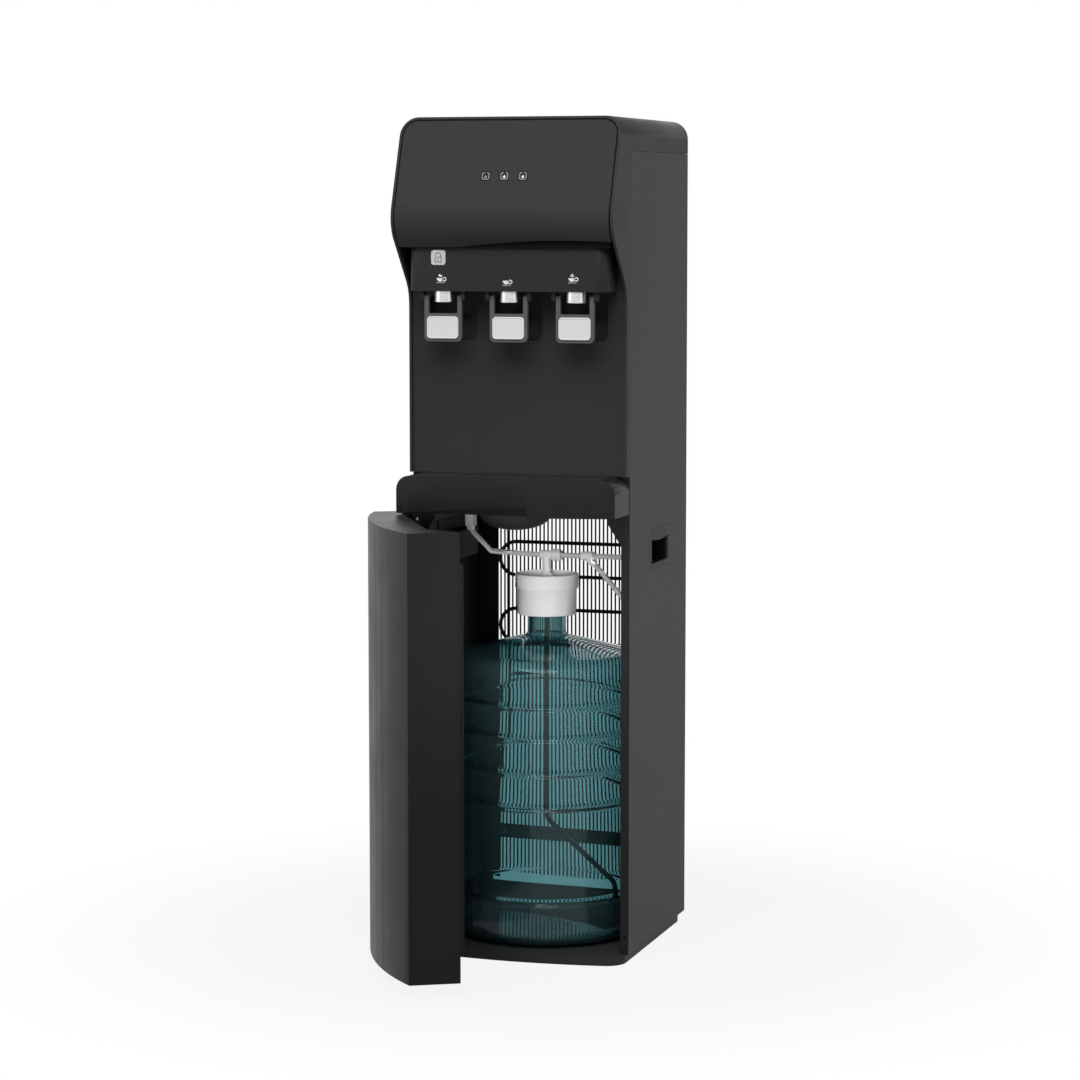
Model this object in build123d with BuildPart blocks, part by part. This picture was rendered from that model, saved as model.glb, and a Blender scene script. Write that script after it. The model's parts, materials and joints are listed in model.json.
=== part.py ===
from build123d import *
import os
from math import hypot

os.makedirs("parts", exist_ok=True)

# Cabinet size; the front faces -Y, the origin lies on the floor under the middle of the side panels
width = 310.0
depth = 294.0
height = 1147.0
half = width / 2
front = -depth / 2
back = depth / 2

# Fits
sheet = 1.0
seam = 0.3
touch = 0.1
running = 0.05
cover_gap = 0.6

# Levels from the floor up
base_thickness = 9.0
door_bottom = 21.0
door_gap = 3.0
tray_bottom = 614.0
tray_height = 51.0
hood_height = 46.0
panel_top = height - hood_height
tray_top = tray_bottom + tray_height
door_top = tray_bottom - door_gap
shelf_level = tray_bottom + 4
shelf_top = shelf_level + 1.2
inner_half = half - sheet


def level(z):
    return Plane.XY.offset(z)


def facing(y):
    return Plane.XZ.offset(-y)


def sideways(x):
    return Plane.YZ.offset(x)


def area(x0, x1, y0, y1, mode=Mode.ADD):
    with Locations(((x0 + x1) / 2, (y0 + y1) / 2)):
        Rectangle(abs(x1 - x0), abs(y1 - y0), mode=mode)


def save(piece, name):
    piece.label = name
    export_step(piece, f"parts/{name}.step")


# Base: flat plate with a bowed front and walls for the side panels
base_half = half - 0.5
base_reach = 50.0
base_side_reach = 33.0
base_corner = 28.0
base_back = back - 35
base_wall = 3.0
base_wall_height = 36.0
foot_radius = 13.0
foot_height = 5.0
foot_sides = 12
foot_x = half - 32
foot_front = front + 30
foot_back = base_back - 20
hinge_x = -half + 9
hinge_reach = 12.0
hinge_y = front - hinge_reach
pin_radius = 3.0
pin_depth = 7.0
pin_lap = 12.0

feet_places = [(x, y) for x in (-foot_x, foot_x) for y in (foot_front, foot_back)]

with BuildPart() as base_pan:
    with BuildSketch(level(0)) as plan:
        with BuildLine():
            ThreePointArc(
                (-base_half, front - base_side_reach),
                (0, front - base_reach),
                (base_half, front - base_side_reach),
            )
            Polyline(
                (base_half, front - base_side_reach),
                (base_half, base_back),
                (-base_half, base_back),
                (-base_half, front - base_side_reach),
            )
        make_face()
        fillet(plan.vertices().sort_by(Axis.Y)[:2], base_corner)
    extrude(amount=base_thickness)
    with BuildSketch(level(base_thickness)):
        wall_half = inner_half - seam
        wall_front = front + sheet + seam
        area(-wall_half, wall_half, wall_front, base_back)
        area(-wall_half + base_wall, wall_half - base_wall, wall_front, base_back - base_wall, Mode.SUBTRACT)
    extrude(amount=base_wall_height)
    with BuildSketch(level(0)):
        with Locations(*feet_places):
            RegularPolygon(foot_radius + seam, foot_sides)
    extrude(amount=foot_height + touch, mode=Mode.SUBTRACT)
    with BuildSketch(level(base_thickness - pin_depth)):
        with Locations((hinge_x, hinge_y)):
            Circle(pin_radius + running)
    extrude(amount=pin_depth, mode=Mode.SUBTRACT)
save(base_pan.part, "base_pan")

with BuildPart() as levelling_feet:
    with BuildSketch(level(0)):
        with Locations(*feet_places):
            RegularPolygon(foot_radius, foot_sides)
    extrude(amount=foot_height)
save(levelling_feet.part, "levelling_feet")

# Side panels: folded steel with a jamb flange, its gusset, a rear flange and the grip cut-out
jamb = 12.0
gusset_width = 31.0
gusset_low = tray_bottom - 44
gusset_high = tray_bottom - 14
rear_flange = 15.0
jamb_hole = 1.8
jamb_hole_levels = (20.7, 31.8)
grip_setback = 158.0
grip_y = front + grip_setback
grip_level = 555.0
grip_width = 118.0
grip_height = 56.0
grip_corner = 9.0
grip_mouth_width = 84.0
grip_mouth_height = 34.0
grip_mouth_level = 551.5
grip_mouth_y = grip_y - 4
grip_sag = 3.0
grip_depth = 26.0
grip_wall = 2.0
grip_lap = 4.0

with BuildPart() as right_side_panel:
    with BuildSketch(sideways(half - sheet)):
        area(front, back, base_thickness, panel_top)
        with Locations((grip_y, grip_level)):
            RectangleRounded(grip_width + 2 * seam, grip_height + 2 * seam, grip_corner, mode=Mode.SUBTRACT)
    extrude(amount=sheet)
    with BuildSketch(facing(front)):
        with BuildLine():
            Polyline(
                (half, base_thickness),
                (half - jamb, base_thickness),
                (half - jamb, gusset_low),
                (half - gusset_width, gusset_high),
                (half - gusset_width, tray_top),
                (half - jamb, tray_top + gusset_width),
                (half - jamb, panel_top),
                (half, panel_top),
                close=True,
            )
        make_face()
        with Locations(*[(half - jamb / 2, z) for z in jamb_hole_levels]):
            RegularPolygon(jamb_hole, 8, mode=Mode.SUBTRACT)
    extrude(amount=-sheet)
    with BuildSketch(facing(back)):
        area(half - rear_flange, half, base_thickness, panel_top)
    extrude(amount=sheet)
save(right_side_panel.part, "right_side_panel")

with BuildPart() as left_side_panel:
    mirror(right_side_panel.part, about=Plane.YZ)
save(left_side_panel.part, "left_side_panel")

# Hand grips: moulded cups let into the panels, the upper lip sagging in the middle
with BuildPart() as right_hand_grip:
    with BuildSketch(sideways(inner_half)):
        with Locations((grip_y, grip_level)):
            RectangleRounded(grip_width, grip_height, grip_corner - seam)
    extrude(amount=sheet)
    with BuildSketch(sideways(inner_half - touch)):
        with Locations((grip_y, grip_level)):
            Rectangle(grip_width + 2 * grip_lap, grip_height + 2 * grip_lap)
    extrude(amount=-grip_wall)
    with BuildSketch(sideways(inner_half)):
        with Locations((grip_y, grip_level)):
            RectangleRounded(grip_width, grip_height, grip_corner - seam)
    extrude(amount=-touch)
    with BuildSketch(sideways(inner_half - grip_wall)):
        with Locations((grip_mouth_y, grip_mouth_level)):
            Rectangle(grip_mouth_width + 2 * grip_wall, grip_mouth_height + 2 * grip_wall)
    extrude(amount=-(grip_depth - grip_wall))
    with BuildSketch(sideways(half)):
        mouth_low = grip_mouth_level - grip_mouth_height / 2
        mouth_high = grip_mouth_level + grip_mouth_height / 2
        mouth_near = grip_mouth_y - grip_mouth_width / 2
        mouth_far = grip_mouth_y + grip_mouth_width / 2
        with BuildLine():
            Polyline(
                (mouth_near, mouth_high),
                (mouth_near, mouth_low),
                (mouth_far, mouth_low),
                (mouth_far, mouth_high),
            )
            ThreePointArc(
                (mouth_far, mouth_high),
                (grip_mouth_y, mouth_high - grip_sag),
                (mouth_near, mouth_high),
            )
        make_face()
    extrude(amount=-(grip_depth - grip_wall), mode=Mode.SUBTRACT)
save(right_hand_grip.part, "right_hand_grip")

with BuildPart() as left_hand_grip:
    mirror(right_hand_grip.part, about=Plane.YZ)
save(left_hand_grip.part, "left_hand_grip")

# Head: side profile shared by the hood, its front cover and the parts behind it
head_top_reach = 39.0
bulge_reach = 92.0
bulge_drop = 144.5
bulge_level = height - bulge_drop
bulge_radius = 45.0
neck_drop = 234.0
neck_level = height - neck_drop
neck_radius = 50.0
column_reach = 14.0
head_edge = 6.0
hood_corner = 25.0
cheek = 3.5
cover_wall = 2.5
cover_drop = 174.0
cover_low = height - cover_drop
cover_half = half - cheek - cover_gap
cover_top = height - cheek - cover_gap
cover_corner = hood_corner - cheek - cover_gap

slope_length = hypot(bulge_reach - head_top_reach, height - bulge_level)
slope_out = (height - bulge_level) / slope_length
slope_up = (bulge_reach - head_top_reach) / slope_length
under_slope = (bulge_reach - column_reach) / (bulge_level - neck_level)


def slope_reach(z):
    return head_top_reach + (height - z) * (bulge_reach - head_top_reach) / (height - bulge_level)


with BuildPart() as upper_hood:
    with BuildSketch(facing(back)) as ring:
        area(-half, half, tray_top, height)
        fillet(ring.vertices().group_by(Axis.Y)[-1], hood_corner)
        with BuildSketch(mode=Mode.SUBTRACT) as hollow:
            area(-half + cheek, half - cheek, tray_top - 1, height - cheek)
            fillet(hollow.vertices().group_by(Axis.Y)[-1], hood_corner - cheek)
    extrude(amount=depth + bulge_reach)
    with BuildSketch(Plane.YZ):
        with BuildLine():
            FilletPolyline(
                (back, height),
                (front - head_top_reach, height),
                (front - bulge_reach, bulge_level),
                (front - column_reach, neck_level),
                (front - column_reach, tray_top + seam),
                radius=(head_edge, bulge_radius, neck_radius),
            )
            Polyline(
                (front - column_reach, tray_top + seam),
                (front - touch, tray_top + seam),
                (front - touch, panel_top + seam),
                (back, panel_top + seam),
                (back, height),
            )
        make_face()
    extrude(amount=half + 1, both=True, mode=Mode.INTERSECT)
save(upper_hood.part, "upper_hood")

# Front cover: bent skin with its lower edge arched over the taps, indicator windows and board posts
indicator_drop = 79.5
indicator_level = height - indicator_drop
indicator_pitch = 26.0
indicator_size = 13.0
board_width = 110.0
board_height = 46.0
board_thickness = 1.6
board_standoff = 8.0
post_size = 6.0
arch_start = -0.42 * half
arch_peak = 0.4 * half
arch_rise = 9.0
arch_end_rise = 7.0
cover_plane = Plane(
    origin=(0, front - slope_reach(indicator_level), indicator_level),
    x_dir=(1, 0, 0),
    z_dir=(0, -slope_out, slope_up),
)
indicator_places = [(-indicator_pitch, 0), (0, 0), (indicator_pitch, 0)]
post_places = [(x * (board_width / 2 - 6), y * (board_height / 2 - 6)) for x in (-1, 1) for y in (-1, 1)]

with BuildPart() as front_cover:
    with BuildSketch(Plane.YZ):
        with BuildLine():
            FilletPolyline(
                (front - slope_reach(cover_top), cover_top),
                (front - bulge_reach, bulge_level),
                (front - bulge_reach + under_slope * (bulge_level - cover_low), cover_low),
                radius=bulge_radius,
            )
            offset(amount=cover_wall, side=Side.LEFT)
        make_face()
    extrude(amount=cover_half, both=True)
    with BuildSketch(facing(back)) as outline:
        area(-cover_half, cover_half, tray_top, cover_top)
        fillet(outline.vertices().group_by(Axis.Y)[-1], cover_corner)
    extrude(amount=depth + bulge_reach, mode=Mode.INTERSECT)
    with BuildSketch(facing(front)):
        with BuildLine():
            ThreePointArc(
                (arch_start, cover_low),
                (arch_peak, cover_low + arch_rise),
                (half, cover_low + arch_end_rise),
            )
            Polyline(
                (half, cover_low + arch_end_rise),
                (half, cover_low - cover_wall),
                (arch_start, cover_low - cover_wall),
                (arch_start, cover_low),
            )
        make_face()
    extrude(amount=bulge_reach, mode=Mode.SUBTRACT)
    with BuildSketch(cover_plane):
        with Locations(*indicator_places):
            Rectangle(indicator_size, indicator_size)
    extrude(amount=-2 * cover_wall, mode=Mode.SUBTRACT)
    with BuildSketch(cover_plane.offset(-cover_wall + touch)):
        with Locations(*post_places):
            Rectangle(post_size, post_size)
    extrude(amount=-(board_standoff - cover_wall + touch))
save(front_cover.part, "front_cover")

with BuildPart() as indicator_lenses:
    with BuildSketch(cover_plane):
        with Locations(*indicator_places):
            Rectangle(indicator_size - 2 * touch, indicator_size - 2 * touch)
    extrude(amount=-cover_wall)
save(indicator_lenses.part, "indicator_lenses")

with BuildPart() as control_board:
    with BuildSketch(cover_plane.offset(-board_standoff - touch)):
        Rectangle(board_width, board_height)
    extrude(amount=-board_thickness)
    with BuildSketch(cover_plane.offset(-board_standoff - touch)):
        with Locations(*indicator_places):
            Rectangle(5, 5)
    extrude(amount=board_standoff - cover_wall - 1)
    with BuildSketch(cover_plane.offset(-board_standoff - touch - board_thickness)):
        with Locations((-board_width / 4, 0), (board_width / 4, 0)):
            Rectangle(18, 14)
    extrude(amount=-5)
save(control_board.part, "control_board")

# Tap housing: open-backed bar that holds the spouts, the paddle lugs and the lock button
tap_reach = 60.0
housing_half = half - 15
tap_pitch = housing_half - 47
housing_corner = 16.0
housing_drop = 233.0
housing_low = height - housing_drop
housing_high = cover_low - 1
housing_wall = 2.5
housing_floor = 3.0
panel_reach = 11.0
panel_thickness = 3.0
spout_reach = 44.0
spout_radius = 13.5
spout_bore = 7.0
spout_length = 15.0
spout_lap = 5.0
lock_x = -housing_half + 44
lock_drop = 188.0
lock_level = height - lock_drop
lock_size = 20.5
lock_corner = 4.0
lock_proud = 1.6
lock_flange = 2.0
paddle_pivot_reach = 48.0
paddle_pivot_level = housing_low - 8
paddle_width = 53.0
paddle_arm = 6.0
paddle_thickness = 6.0
trunnion_radius = 2.5
trunnion_length = 5.0
lug_thickness = 5.0
lug_radius = 6.0
tap_centres = (-tap_pitch, 0.0, tap_pitch)
lug_inner = paddle_width / 2 + seam
lug_centres = [c + s * (lug_inner + lug_thickness / 2) for c in tap_centres for s in (-1, 1)]

with BuildPart() as tap_housing:
    with BuildSketch(level(housing_low)) as plan:
        area(-housing_half, housing_half, front - tap_reach, front - panel_reach - touch)
        fillet(plan.vertices().group_by(Axis.Y)[0], housing_corner)
    extrude(amount=housing_high - housing_low)
    with BuildSketch(level(housing_low + housing_floor)) as hollow:
        area(
            -housing_half + housing_wall,
            housing_half - housing_wall,
            front - tap_reach + housing_wall,
            front - panel_reach + 1,
        )
        fillet(hollow.vertices().group_by(Axis.Y)[0], housing_corner - housing_wall)
    extrude(amount=housing_high - housing_low, mode=Mode.SUBTRACT)
    with BuildSketch(level(housing_low)):
        with Locations(*[(c, front - spout_reach) for c in tap_centres]):
            RegularPolygon(spout_radius + touch, 16, major_radius=False)
    extrude(amount=housing_floor, mode=Mode.SUBTRACT)
    with BuildSketch(facing(front - tap_reach)):
        with Locations((lock_x, lock_level)):
            RectangleRounded(lock_size + 2 * seam, lock_size + 2 * seam, lock_corner)
    extrude(amount=-housing_wall, mode=Mode.SUBTRACT)
    for c in lug_centres:
        with BuildSketch(sideways(c - lug_thickness / 2)):
            with Locations((front - paddle_pivot_reach, paddle_pivot_level)):
                RegularPolygon(lug_radius, 8)
            area(
                front - paddle_pivot_reach - lug_radius,
                front - paddle_pivot_reach + lug_radius,
                paddle_pivot_level,
                housing_low + 1,
            )
            with Locations((front - paddle_pivot_reach, paddle_pivot_level)):
                Circle(trunnion_radius + running, mode=Mode.SUBTRACT)
        extrude(amount=lug_thickness)
save(tap_housing.part, "tap_housing")

for c, name in zip(tap_centres, ("cold_spout", "room_spout", "hot_spout")):
    with BuildPart() as spout:
        with BuildSketch(level(housing_low - spout_length)):
            with Locations((c, front - spout_reach)):
                Circle(spout_radius)
                RegularPolygon(spout_bore, 12, mode=Mode.SUBTRACT)
        extrude(amount=spout_length + spout_lap)
    save(spout.part, name)

# Child-lock button: slides straight in, held by a flange behind the housing wall
with BuildPart() as child_lock_button:
    with BuildSketch(facing(front - tap_reach - lock_proud)):
        with Locations((lock_x, lock_level)):
            RectangleRounded(lock_size, lock_size, lock_corner)
    extrude(amount=-(lock_proud + housing_wall + touch + lock_flange))
    with BuildSketch(facing(front - tap_reach + housing_wall + touch)):
        with Locations((lock_x, lock_level)):
            Rectangle(lock_size + 5, lock_size + 5)
    extrude(amount=-lock_flange)
save(child_lock_button.part, "child_lock_button")

# Valves on the spouts, standing on the housing floor
valve_width = 30.0
valve_depth = 27.0
valve_height = 25.0
valve_coil = 18.0
valve_coil_height = 20.0
valve_low = housing_low + spout_lap + touch
line_radius = 4.0
line_rise = 18.0
line_level = valve_low + line_rise
line_reach = spout_reach - valve_depth / 2

with BuildPart() as tap_valves:
    with BuildSketch(level(valve_low)):
        with Locations(*[(c, front - spout_reach) for c in tap_centres]):
            Rectangle(valve_width, valve_depth)
    extrude(amount=valve_height)
    with BuildSketch(level(valve_low + valve_height)):
        with Locations(*[(c, front - spout_reach) for c in tap_centres]):
            Rectangle(valve_coil, valve_coil)
    extrude(amount=valve_coil_height)
save(tap_valves.part, "tap_valves")

# Splash panel: wall between the cheeks with a pocket behind each paddle
splash_half = half - cheek - cover_gap
splash_low = tray_top + seam
splash_high = housing_high
pocket_width = 68.0
pocket_drop = 67.0
pocket_low = housing_low - pocket_drop
pocket_high = housing_low - 6
pocket_corner = 9.0
pocket_depth = 16.0
pocket_wall = 2.0

with BuildPart() as splash_panel:
    with BuildSketch(facing(front - panel_reach)):
        area(-splash_half, splash_half, splash_low, splash_high)
    extrude(amount=-panel_thickness)
    with BuildSketch(facing(front - panel_reach)):
        area(-splash_half, -splash_half + panel_thickness, splash_low, splash_high)
        area(splash_half - panel_thickness, splash_half, splash_low, splash_high)
    extrude(amount=-(panel_reach - touch))
    with BuildSketch(facing(front - panel_reach)):
        with Locations(*[(c, (pocket_low + pocket_high) / 2) for c in tap_centres]):
            Rectangle(pocket_width + 2 * pocket_wall, pocket_high - pocket_low + 2 * pocket_wall)
    extrude(amount=-(pocket_depth + pocket_wall))
    with BuildSketch(facing(front - panel_reach)):
        with Locations(*[(c, (pocket_low + pocket_high) / 2) for c in tap_centres]):
            RectangleRounded(pocket_width, pocket_high - pocket_low, pocket_corner)
    extrude(amount=-pocket_depth, mode=Mode.SUBTRACT)
    with BuildSketch(facing(front - panel_reach)):
        with Locations(*[(c, line_level) for c in tap_centres]):
            RegularPolygon(line_radius + seam, 6, major_radius=False)
    extrude(amount=-panel_thickness, mode=Mode.SUBTRACT)
save(splash_panel.part, "splash_panel")

# Microswitches in the pockets, one behind each paddle tail
switch_width = 20.0
switch_height = 11.0
switch_body = 9.0
switch_plunger = 2.0
tail_width = 10.0
tail_height = 6.0
tail_rise = 26.0
tail_level = pocket_low + tail_rise
tail_gap = 6.3
switch_level = tail_level + 6
pocket_floor_y = front - panel_reach + pocket_depth
plunger_y = pocket_floor_y - touch - switch_body - switch_plunger

with BuildPart() as paddle_switches:
    with BuildSketch(facing(pocket_floor_y - touch)):
        with Locations(*[(c, switch_level) for c in tap_centres]):
            Rectangle(switch_width, switch_height)
    extrude(amount=switch_body)
    with BuildSketch(facing(pocket_floor_y - touch - switch_body)):
        with Locations(*[(c, switch_level) for c in tap_centres]):
            Rectangle(4, 4)
    extrude(amount=switch_plunger)
save(paddle_switches.part, "paddle_switches")

# Paddles: dark forked levers swinging on trunnions, each with a white pad and a switch tail
paddle_drop = 68.0
paddle_low = housing_low - paddle_drop
fork_drop = 30.0
fork_level = housing_low - fork_drop
pad_width = 44.5
pad_height = 30.0
pad_low = paddle_low + 4
pad_corner = 5.0
pad_thickness = 2.5
paddle_front = front - paddle_pivot_reach - paddle_thickness / 2
paddle_rear = front - paddle_pivot_reach + paddle_thickness / 2

for c, name in zip(tap_centres, ("cold", "room", "hot")):
    with BuildPart() as paddle:
        with BuildSketch(facing(paddle_front)) as outline:
            paddle_top = paddle_pivot_level + paddle_thickness / 2
            area(c - paddle_width / 2, c + paddle_width / 2, paddle_low, paddle_top)
            fillet(outline.vertices().group_by(Axis.Y)[0], pad_corner + 2)
            area(
                c - paddle_width / 2 + paddle_arm,
                c + paddle_width / 2 - paddle_arm,
                fork_level,
                paddle_pivot_level + paddle_thickness,
                Mode.SUBTRACT,
            )
        extrude(amount=-paddle_thickness)
        chamfer(paddle.edges().filter_by(Axis.X).group_by(Axis.Z)[-1], paddle_thickness / 4)
        with BuildSketch(sideways(c - paddle_width / 2 - trunnion_length)):
            with Locations((front - paddle_pivot_reach, paddle_pivot_level)):
                Circle(trunnion_radius)
        extrude(amount=trunnion_length + 1)
        with BuildSketch(sideways(c + paddle_width / 2 - 1)):
            with Locations((front - paddle_pivot_reach, paddle_pivot_level)):
                Circle(trunnion_radius)
        extrude(amount=trunnion_length + 1)
        with BuildSketch(facing(paddle_rear)):
            with Locations((c, tail_level)):
                Rectangle(tail_width, tail_height)
        extrude(amount=-(plunger_y - tail_gap - paddle_rear))
    save(paddle.part, f"{name}_paddle")
    with BuildPart() as pad:
        with BuildSketch(facing(paddle_front - touch)):
            with Locations((c, pad_low + pad_height / 2)):
                RectangleRounded(pad_width, pad_height, pad_corner)
        extrude(amount=pad_thickness)
    save(pad.part, f"{name}_pad")

# Drip tray: bowed block with rounded shoulders, a basin under the grate and a finger notch below
bow_side = 70.0
bow_middle = 95.0
tray_half = half - 0.5
tray_shoulder = 20.0
tray_rim = 9.0
grate_thickness = 4.5
grate_ledge = 4.0
basin_floor = tray_bottom + 22
notch_depth = 2.0
notch_rise = 14.5
notch_lip = 1.2
notch_start = -half + 15
notch_peak = 5.0
notch_end = 39.0
drain_x = -12.0
drain_reach = 27.0
drain_radius = 5.0


def bowed(inset, rear, x_inset):
    reach = tray_half - x_inset
    drop = (bow_middle - bow_side) * (1 - (reach / tray_half) ** 2)
    with BuildLine() as outline:
        ThreePointArc(
            (-reach, front - bow_side - drop + inset),
            (0, front - bow_middle + inset),
            (reach, front - bow_side - drop + inset),
        )
        Polyline(
            (reach, front - bow_side - drop + inset),
            (reach, rear),
            (-reach, rear),
            (-reach, front - bow_side - drop + inset),
        )
    return outline.edges()


grate_side = tray_shoulder + 2
grate_rear = front - panel_reach - 2

with BuildPart() as tray_housing:
    with BuildSketch(level(tray_bottom)):
        make_face(bowed(0, front - touch, 0))
    extrude(amount=tray_height)
    fillet(tray_housing.edges().filter_by(Axis.Y).group_by(Axis.Z)[-1], tray_shoulder)
    with BuildSketch(level(tray_top - grate_thickness - seam)):
        make_face(bowed(tray_rim, grate_rear, grate_side))
    extrude(amount=tray_height, mode=Mode.SUBTRACT)
    with BuildSketch(level(basin_floor)):
        make_face(bowed(tray_rim + grate_ledge, grate_rear - grate_ledge, grate_side + grate_ledge))
    extrude(amount=tray_height, mode=Mode.SUBTRACT)
    with BuildSketch(facing(front - bow_side + notch_depth)):
        with BuildLine():
            Polyline(
                (notch_start, tray_bottom - 1),
                (notch_start, tray_bottom + notch_lip),
                (notch_peak, tray_bottom + notch_rise - 1),
                (notch_end, tray_bottom + notch_rise),
                (notch_end, tray_bottom - 1),
                close=True,
            )
        make_face()
    extrude(amount=bow_middle, mode=Mode.SUBTRACT)
    with BuildSketch(level(tray_bottom)):
        with Locations((hinge_x, hinge_y)):
            Circle(pin_radius + running)
    extrude(amount=pin_depth, mode=Mode.SUBTRACT)
    with BuildSketch(level(tray_bottom)):
        with Locations((drain_x, front - drain_reach)):
            RegularPolygon(drain_radius, 8)
    extrude(amount=tray_height, mode=Mode.SUBTRACT)
save(tray_housing.part, "tray_housing")

grate_half = tray_half - grate_side - seam
rosette_x = grate_half - 80
rosette_y = front - 42
rosette_places = [(-rosette_x, rosette_y), (rosette_x, rosette_y)]
slot_width = 5.0

with BuildPart() as drip_grate:
    with BuildSketch(level(tray_top - grate_thickness - touch)):
        make_face(bowed(tray_rim + seam, grate_rear - seam, grate_side + seam))
        with Locations(*rosette_places):
            with PolarLocations(21, 8):
                Rectangle(slot_width, 14, mode=Mode.SUBTRACT)
            with PolarLocations(10, 4):
                Rectangle(slot_width, 10, mode=Mode.SUBTRACT)
    extrude(amount=grate_thickness)
save(drip_grate.part, "drip_grate")

# Sump: bowl hung under the back of the tray to collect the spilt water
sump_x = drain_x
sump_y = front + 16
sump_wall = 2.5
sump_rim = 2.5
sump_rim_height = 4.0
sump_top = tray_bottom - touch
sump_mouth = 48.0
sump_floor = 24.0
sump_drop = 27.0
sump_plane = Plane(origin=(sump_x, sump_y, sump_top), x_dir=(1, 0, 0), z_dir=(0, -1, 0))

with BuildPart() as drip_sump:
    with BuildSketch(sump_plane):
        with BuildLine():
            Polyline(
                (0, -sump_drop),
                (sump_floor, -sump_drop),
                (sump_mouth, -sump_rim_height),
                (sump_mouth + sump_rim, -sump_rim_height),
                (sump_mouth + sump_rim, 0),
                (sump_mouth - sump_wall, 0),
                (sump_floor - sump_wall, -sump_drop + sump_wall),
                (0, -sump_drop + sump_wall),
                close=True,
            )
        make_face()
    revolve(axis=Axis(sump_plane.origin, (0, 0, 1)))
save(drip_sump.part, "drip_sump")

# Door: bowed hollow moulding, built about its hinge and standing open as in use
door_open = 61.5
door_wall = 3.0
door_shelf_reach = 36.0
door_gusset = 52.0
door_back = 2.0
door_heel = 6.0
ear = 9.0
boss_radius = 7.5
boss_depth = 8.0
seal_rib = 2.5
seal_width = jamb + seal_rib + seam
seal_depth = 7.0
seal_low = door_bottom + 40
door_plane = Plane(origin=(hinge_x, hinge_y, 0)).rotated((0, 0, -door_open))
door_left = -tray_half - hinge_x
door_right = tray_half - hinge_x
door_corner_v = hinge_reach - bow_side
door_middle_v = hinge_reach - bow_middle
door_middle_u = -hinge_x
heel_v = hinge_reach - door_heel
edge_v = hinge_reach - door_back
shelf_v = hinge_reach - door_shelf_reach
seal_u = door_right - seal_width

with BuildPart() as door_shell:
    with BuildSketch(door_plane.offset(door_bottom)):
        with BuildLine():
            Line((door_left, heel_v), (door_left, door_corner_v))
            ThreePointArc(
                (door_left, door_corner_v),
                (door_middle_u, door_middle_v),
                (door_right, door_corner_v),
            )
            Line((door_right, door_corner_v), (door_right, edge_v))
            offset(amount=door_wall, side=Side.LEFT)
        make_face()
        area(seal_u, door_right, edge_v - door_wall, edge_v)
    extrude(amount=door_top - door_bottom)
    with BuildSketch(door_plane.offset(door_bottom), door_plane.offset(door_top - door_wall)):
        with BuildLine():
            Line((door_left, heel_v), (door_left, door_corner_v))
            ThreePointArc(
                (door_left, door_corner_v),
                (door_middle_u, door_middle_v),
                (door_right, door_corner_v),
            )
            Polyline(
                (door_right, door_corner_v),
                (door_right, edge_v),
                (seal_u, edge_v),
                (door_right - door_gusset, shelf_v),
                (ear, shelf_v),
                (ear, heel_v),
                (door_left, heel_v),
            )
        make_face()
    extrude(amount=door_wall)
    with BuildSketch(door_plane.offset(seal_low)):
        area(seal_u, seal_u + seal_rib, edge_v - door_wall, edge_v + seal_depth)
    extrude(amount=gusset_low - seam - seal_low)
    with BuildSketch(door_plane.offset(door_bottom + 1), door_plane.offset(door_top - boss_depth)):
        area(door_left + 1, boss_radius, -boss_radius, heel_v)
    extrude(amount=boss_depth - 1)
    with BuildSketch(door_plane.offset(door_bottom - 1)):
        Circle(pin_radius + running)
    extrude(amount=door_top - door_bottom + 2, mode=Mode.SUBTRACT)
save(door_shell.part, "door_shell")

magnet_length = 46.0
magnet_width = 9.0
magnet_depth = 6.0
magnet_low = door_bottom + (door_top - door_bottom) / 2

with BuildPart() as door_magnet:
    with BuildSketch(door_plane.offset(magnet_low)):
        magnet_v = edge_v - door_wall - touch
        area(seal_u + 1, seal_u + 1 + magnet_width, magnet_v - magnet_depth, magnet_v)
    extrude(amount=magnet_length)
save(door_magnet.part, "door_magnet")

with BuildPart() as door_hinge_pins:
    with BuildSketch(level(base_thickness - pin_depth + touch)):
        with Locations((hinge_x, hinge_y)):
            Circle(pin_radius)
    extrude(amount=door_bottom + boss_depth - base_thickness + pin_depth)
    with BuildSketch(level(door_top - pin_lap)):
        with Locations((hinge_x, hinge_y)):
            Circle(pin_radius)
    extrude(amount=pin_lap + door_gap + pin_depth - touch)
save(door_hinge_pins.part, "door_hinge_pins")

# Bottle: hollow ringed body standing on the base
bottle_radius = min(depth - 28, width - 44) / 2
bottle_y = front + bottle_radius - 13
bottle_wall = 2.0
bottle_foot = 7.0
bottle_low = base_thickness + touch
shoulder_level = 392.0
neck_low = 431.0
neck_top = 470.0
neck_outer = 27.0
groove_depth = 3.0
groove_height = 8.0
groove_levels = (73.0, 206.0, 253.0, 302.0, 345.0)
bottle_plane = Plane(origin=(0, bottle_y, 0), x_dir=(1, 0, 0), z_dir=(0, -1, 0))
bottle_axis = Axis((0, bottle_y, 0), (0, 0, 1))


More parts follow.
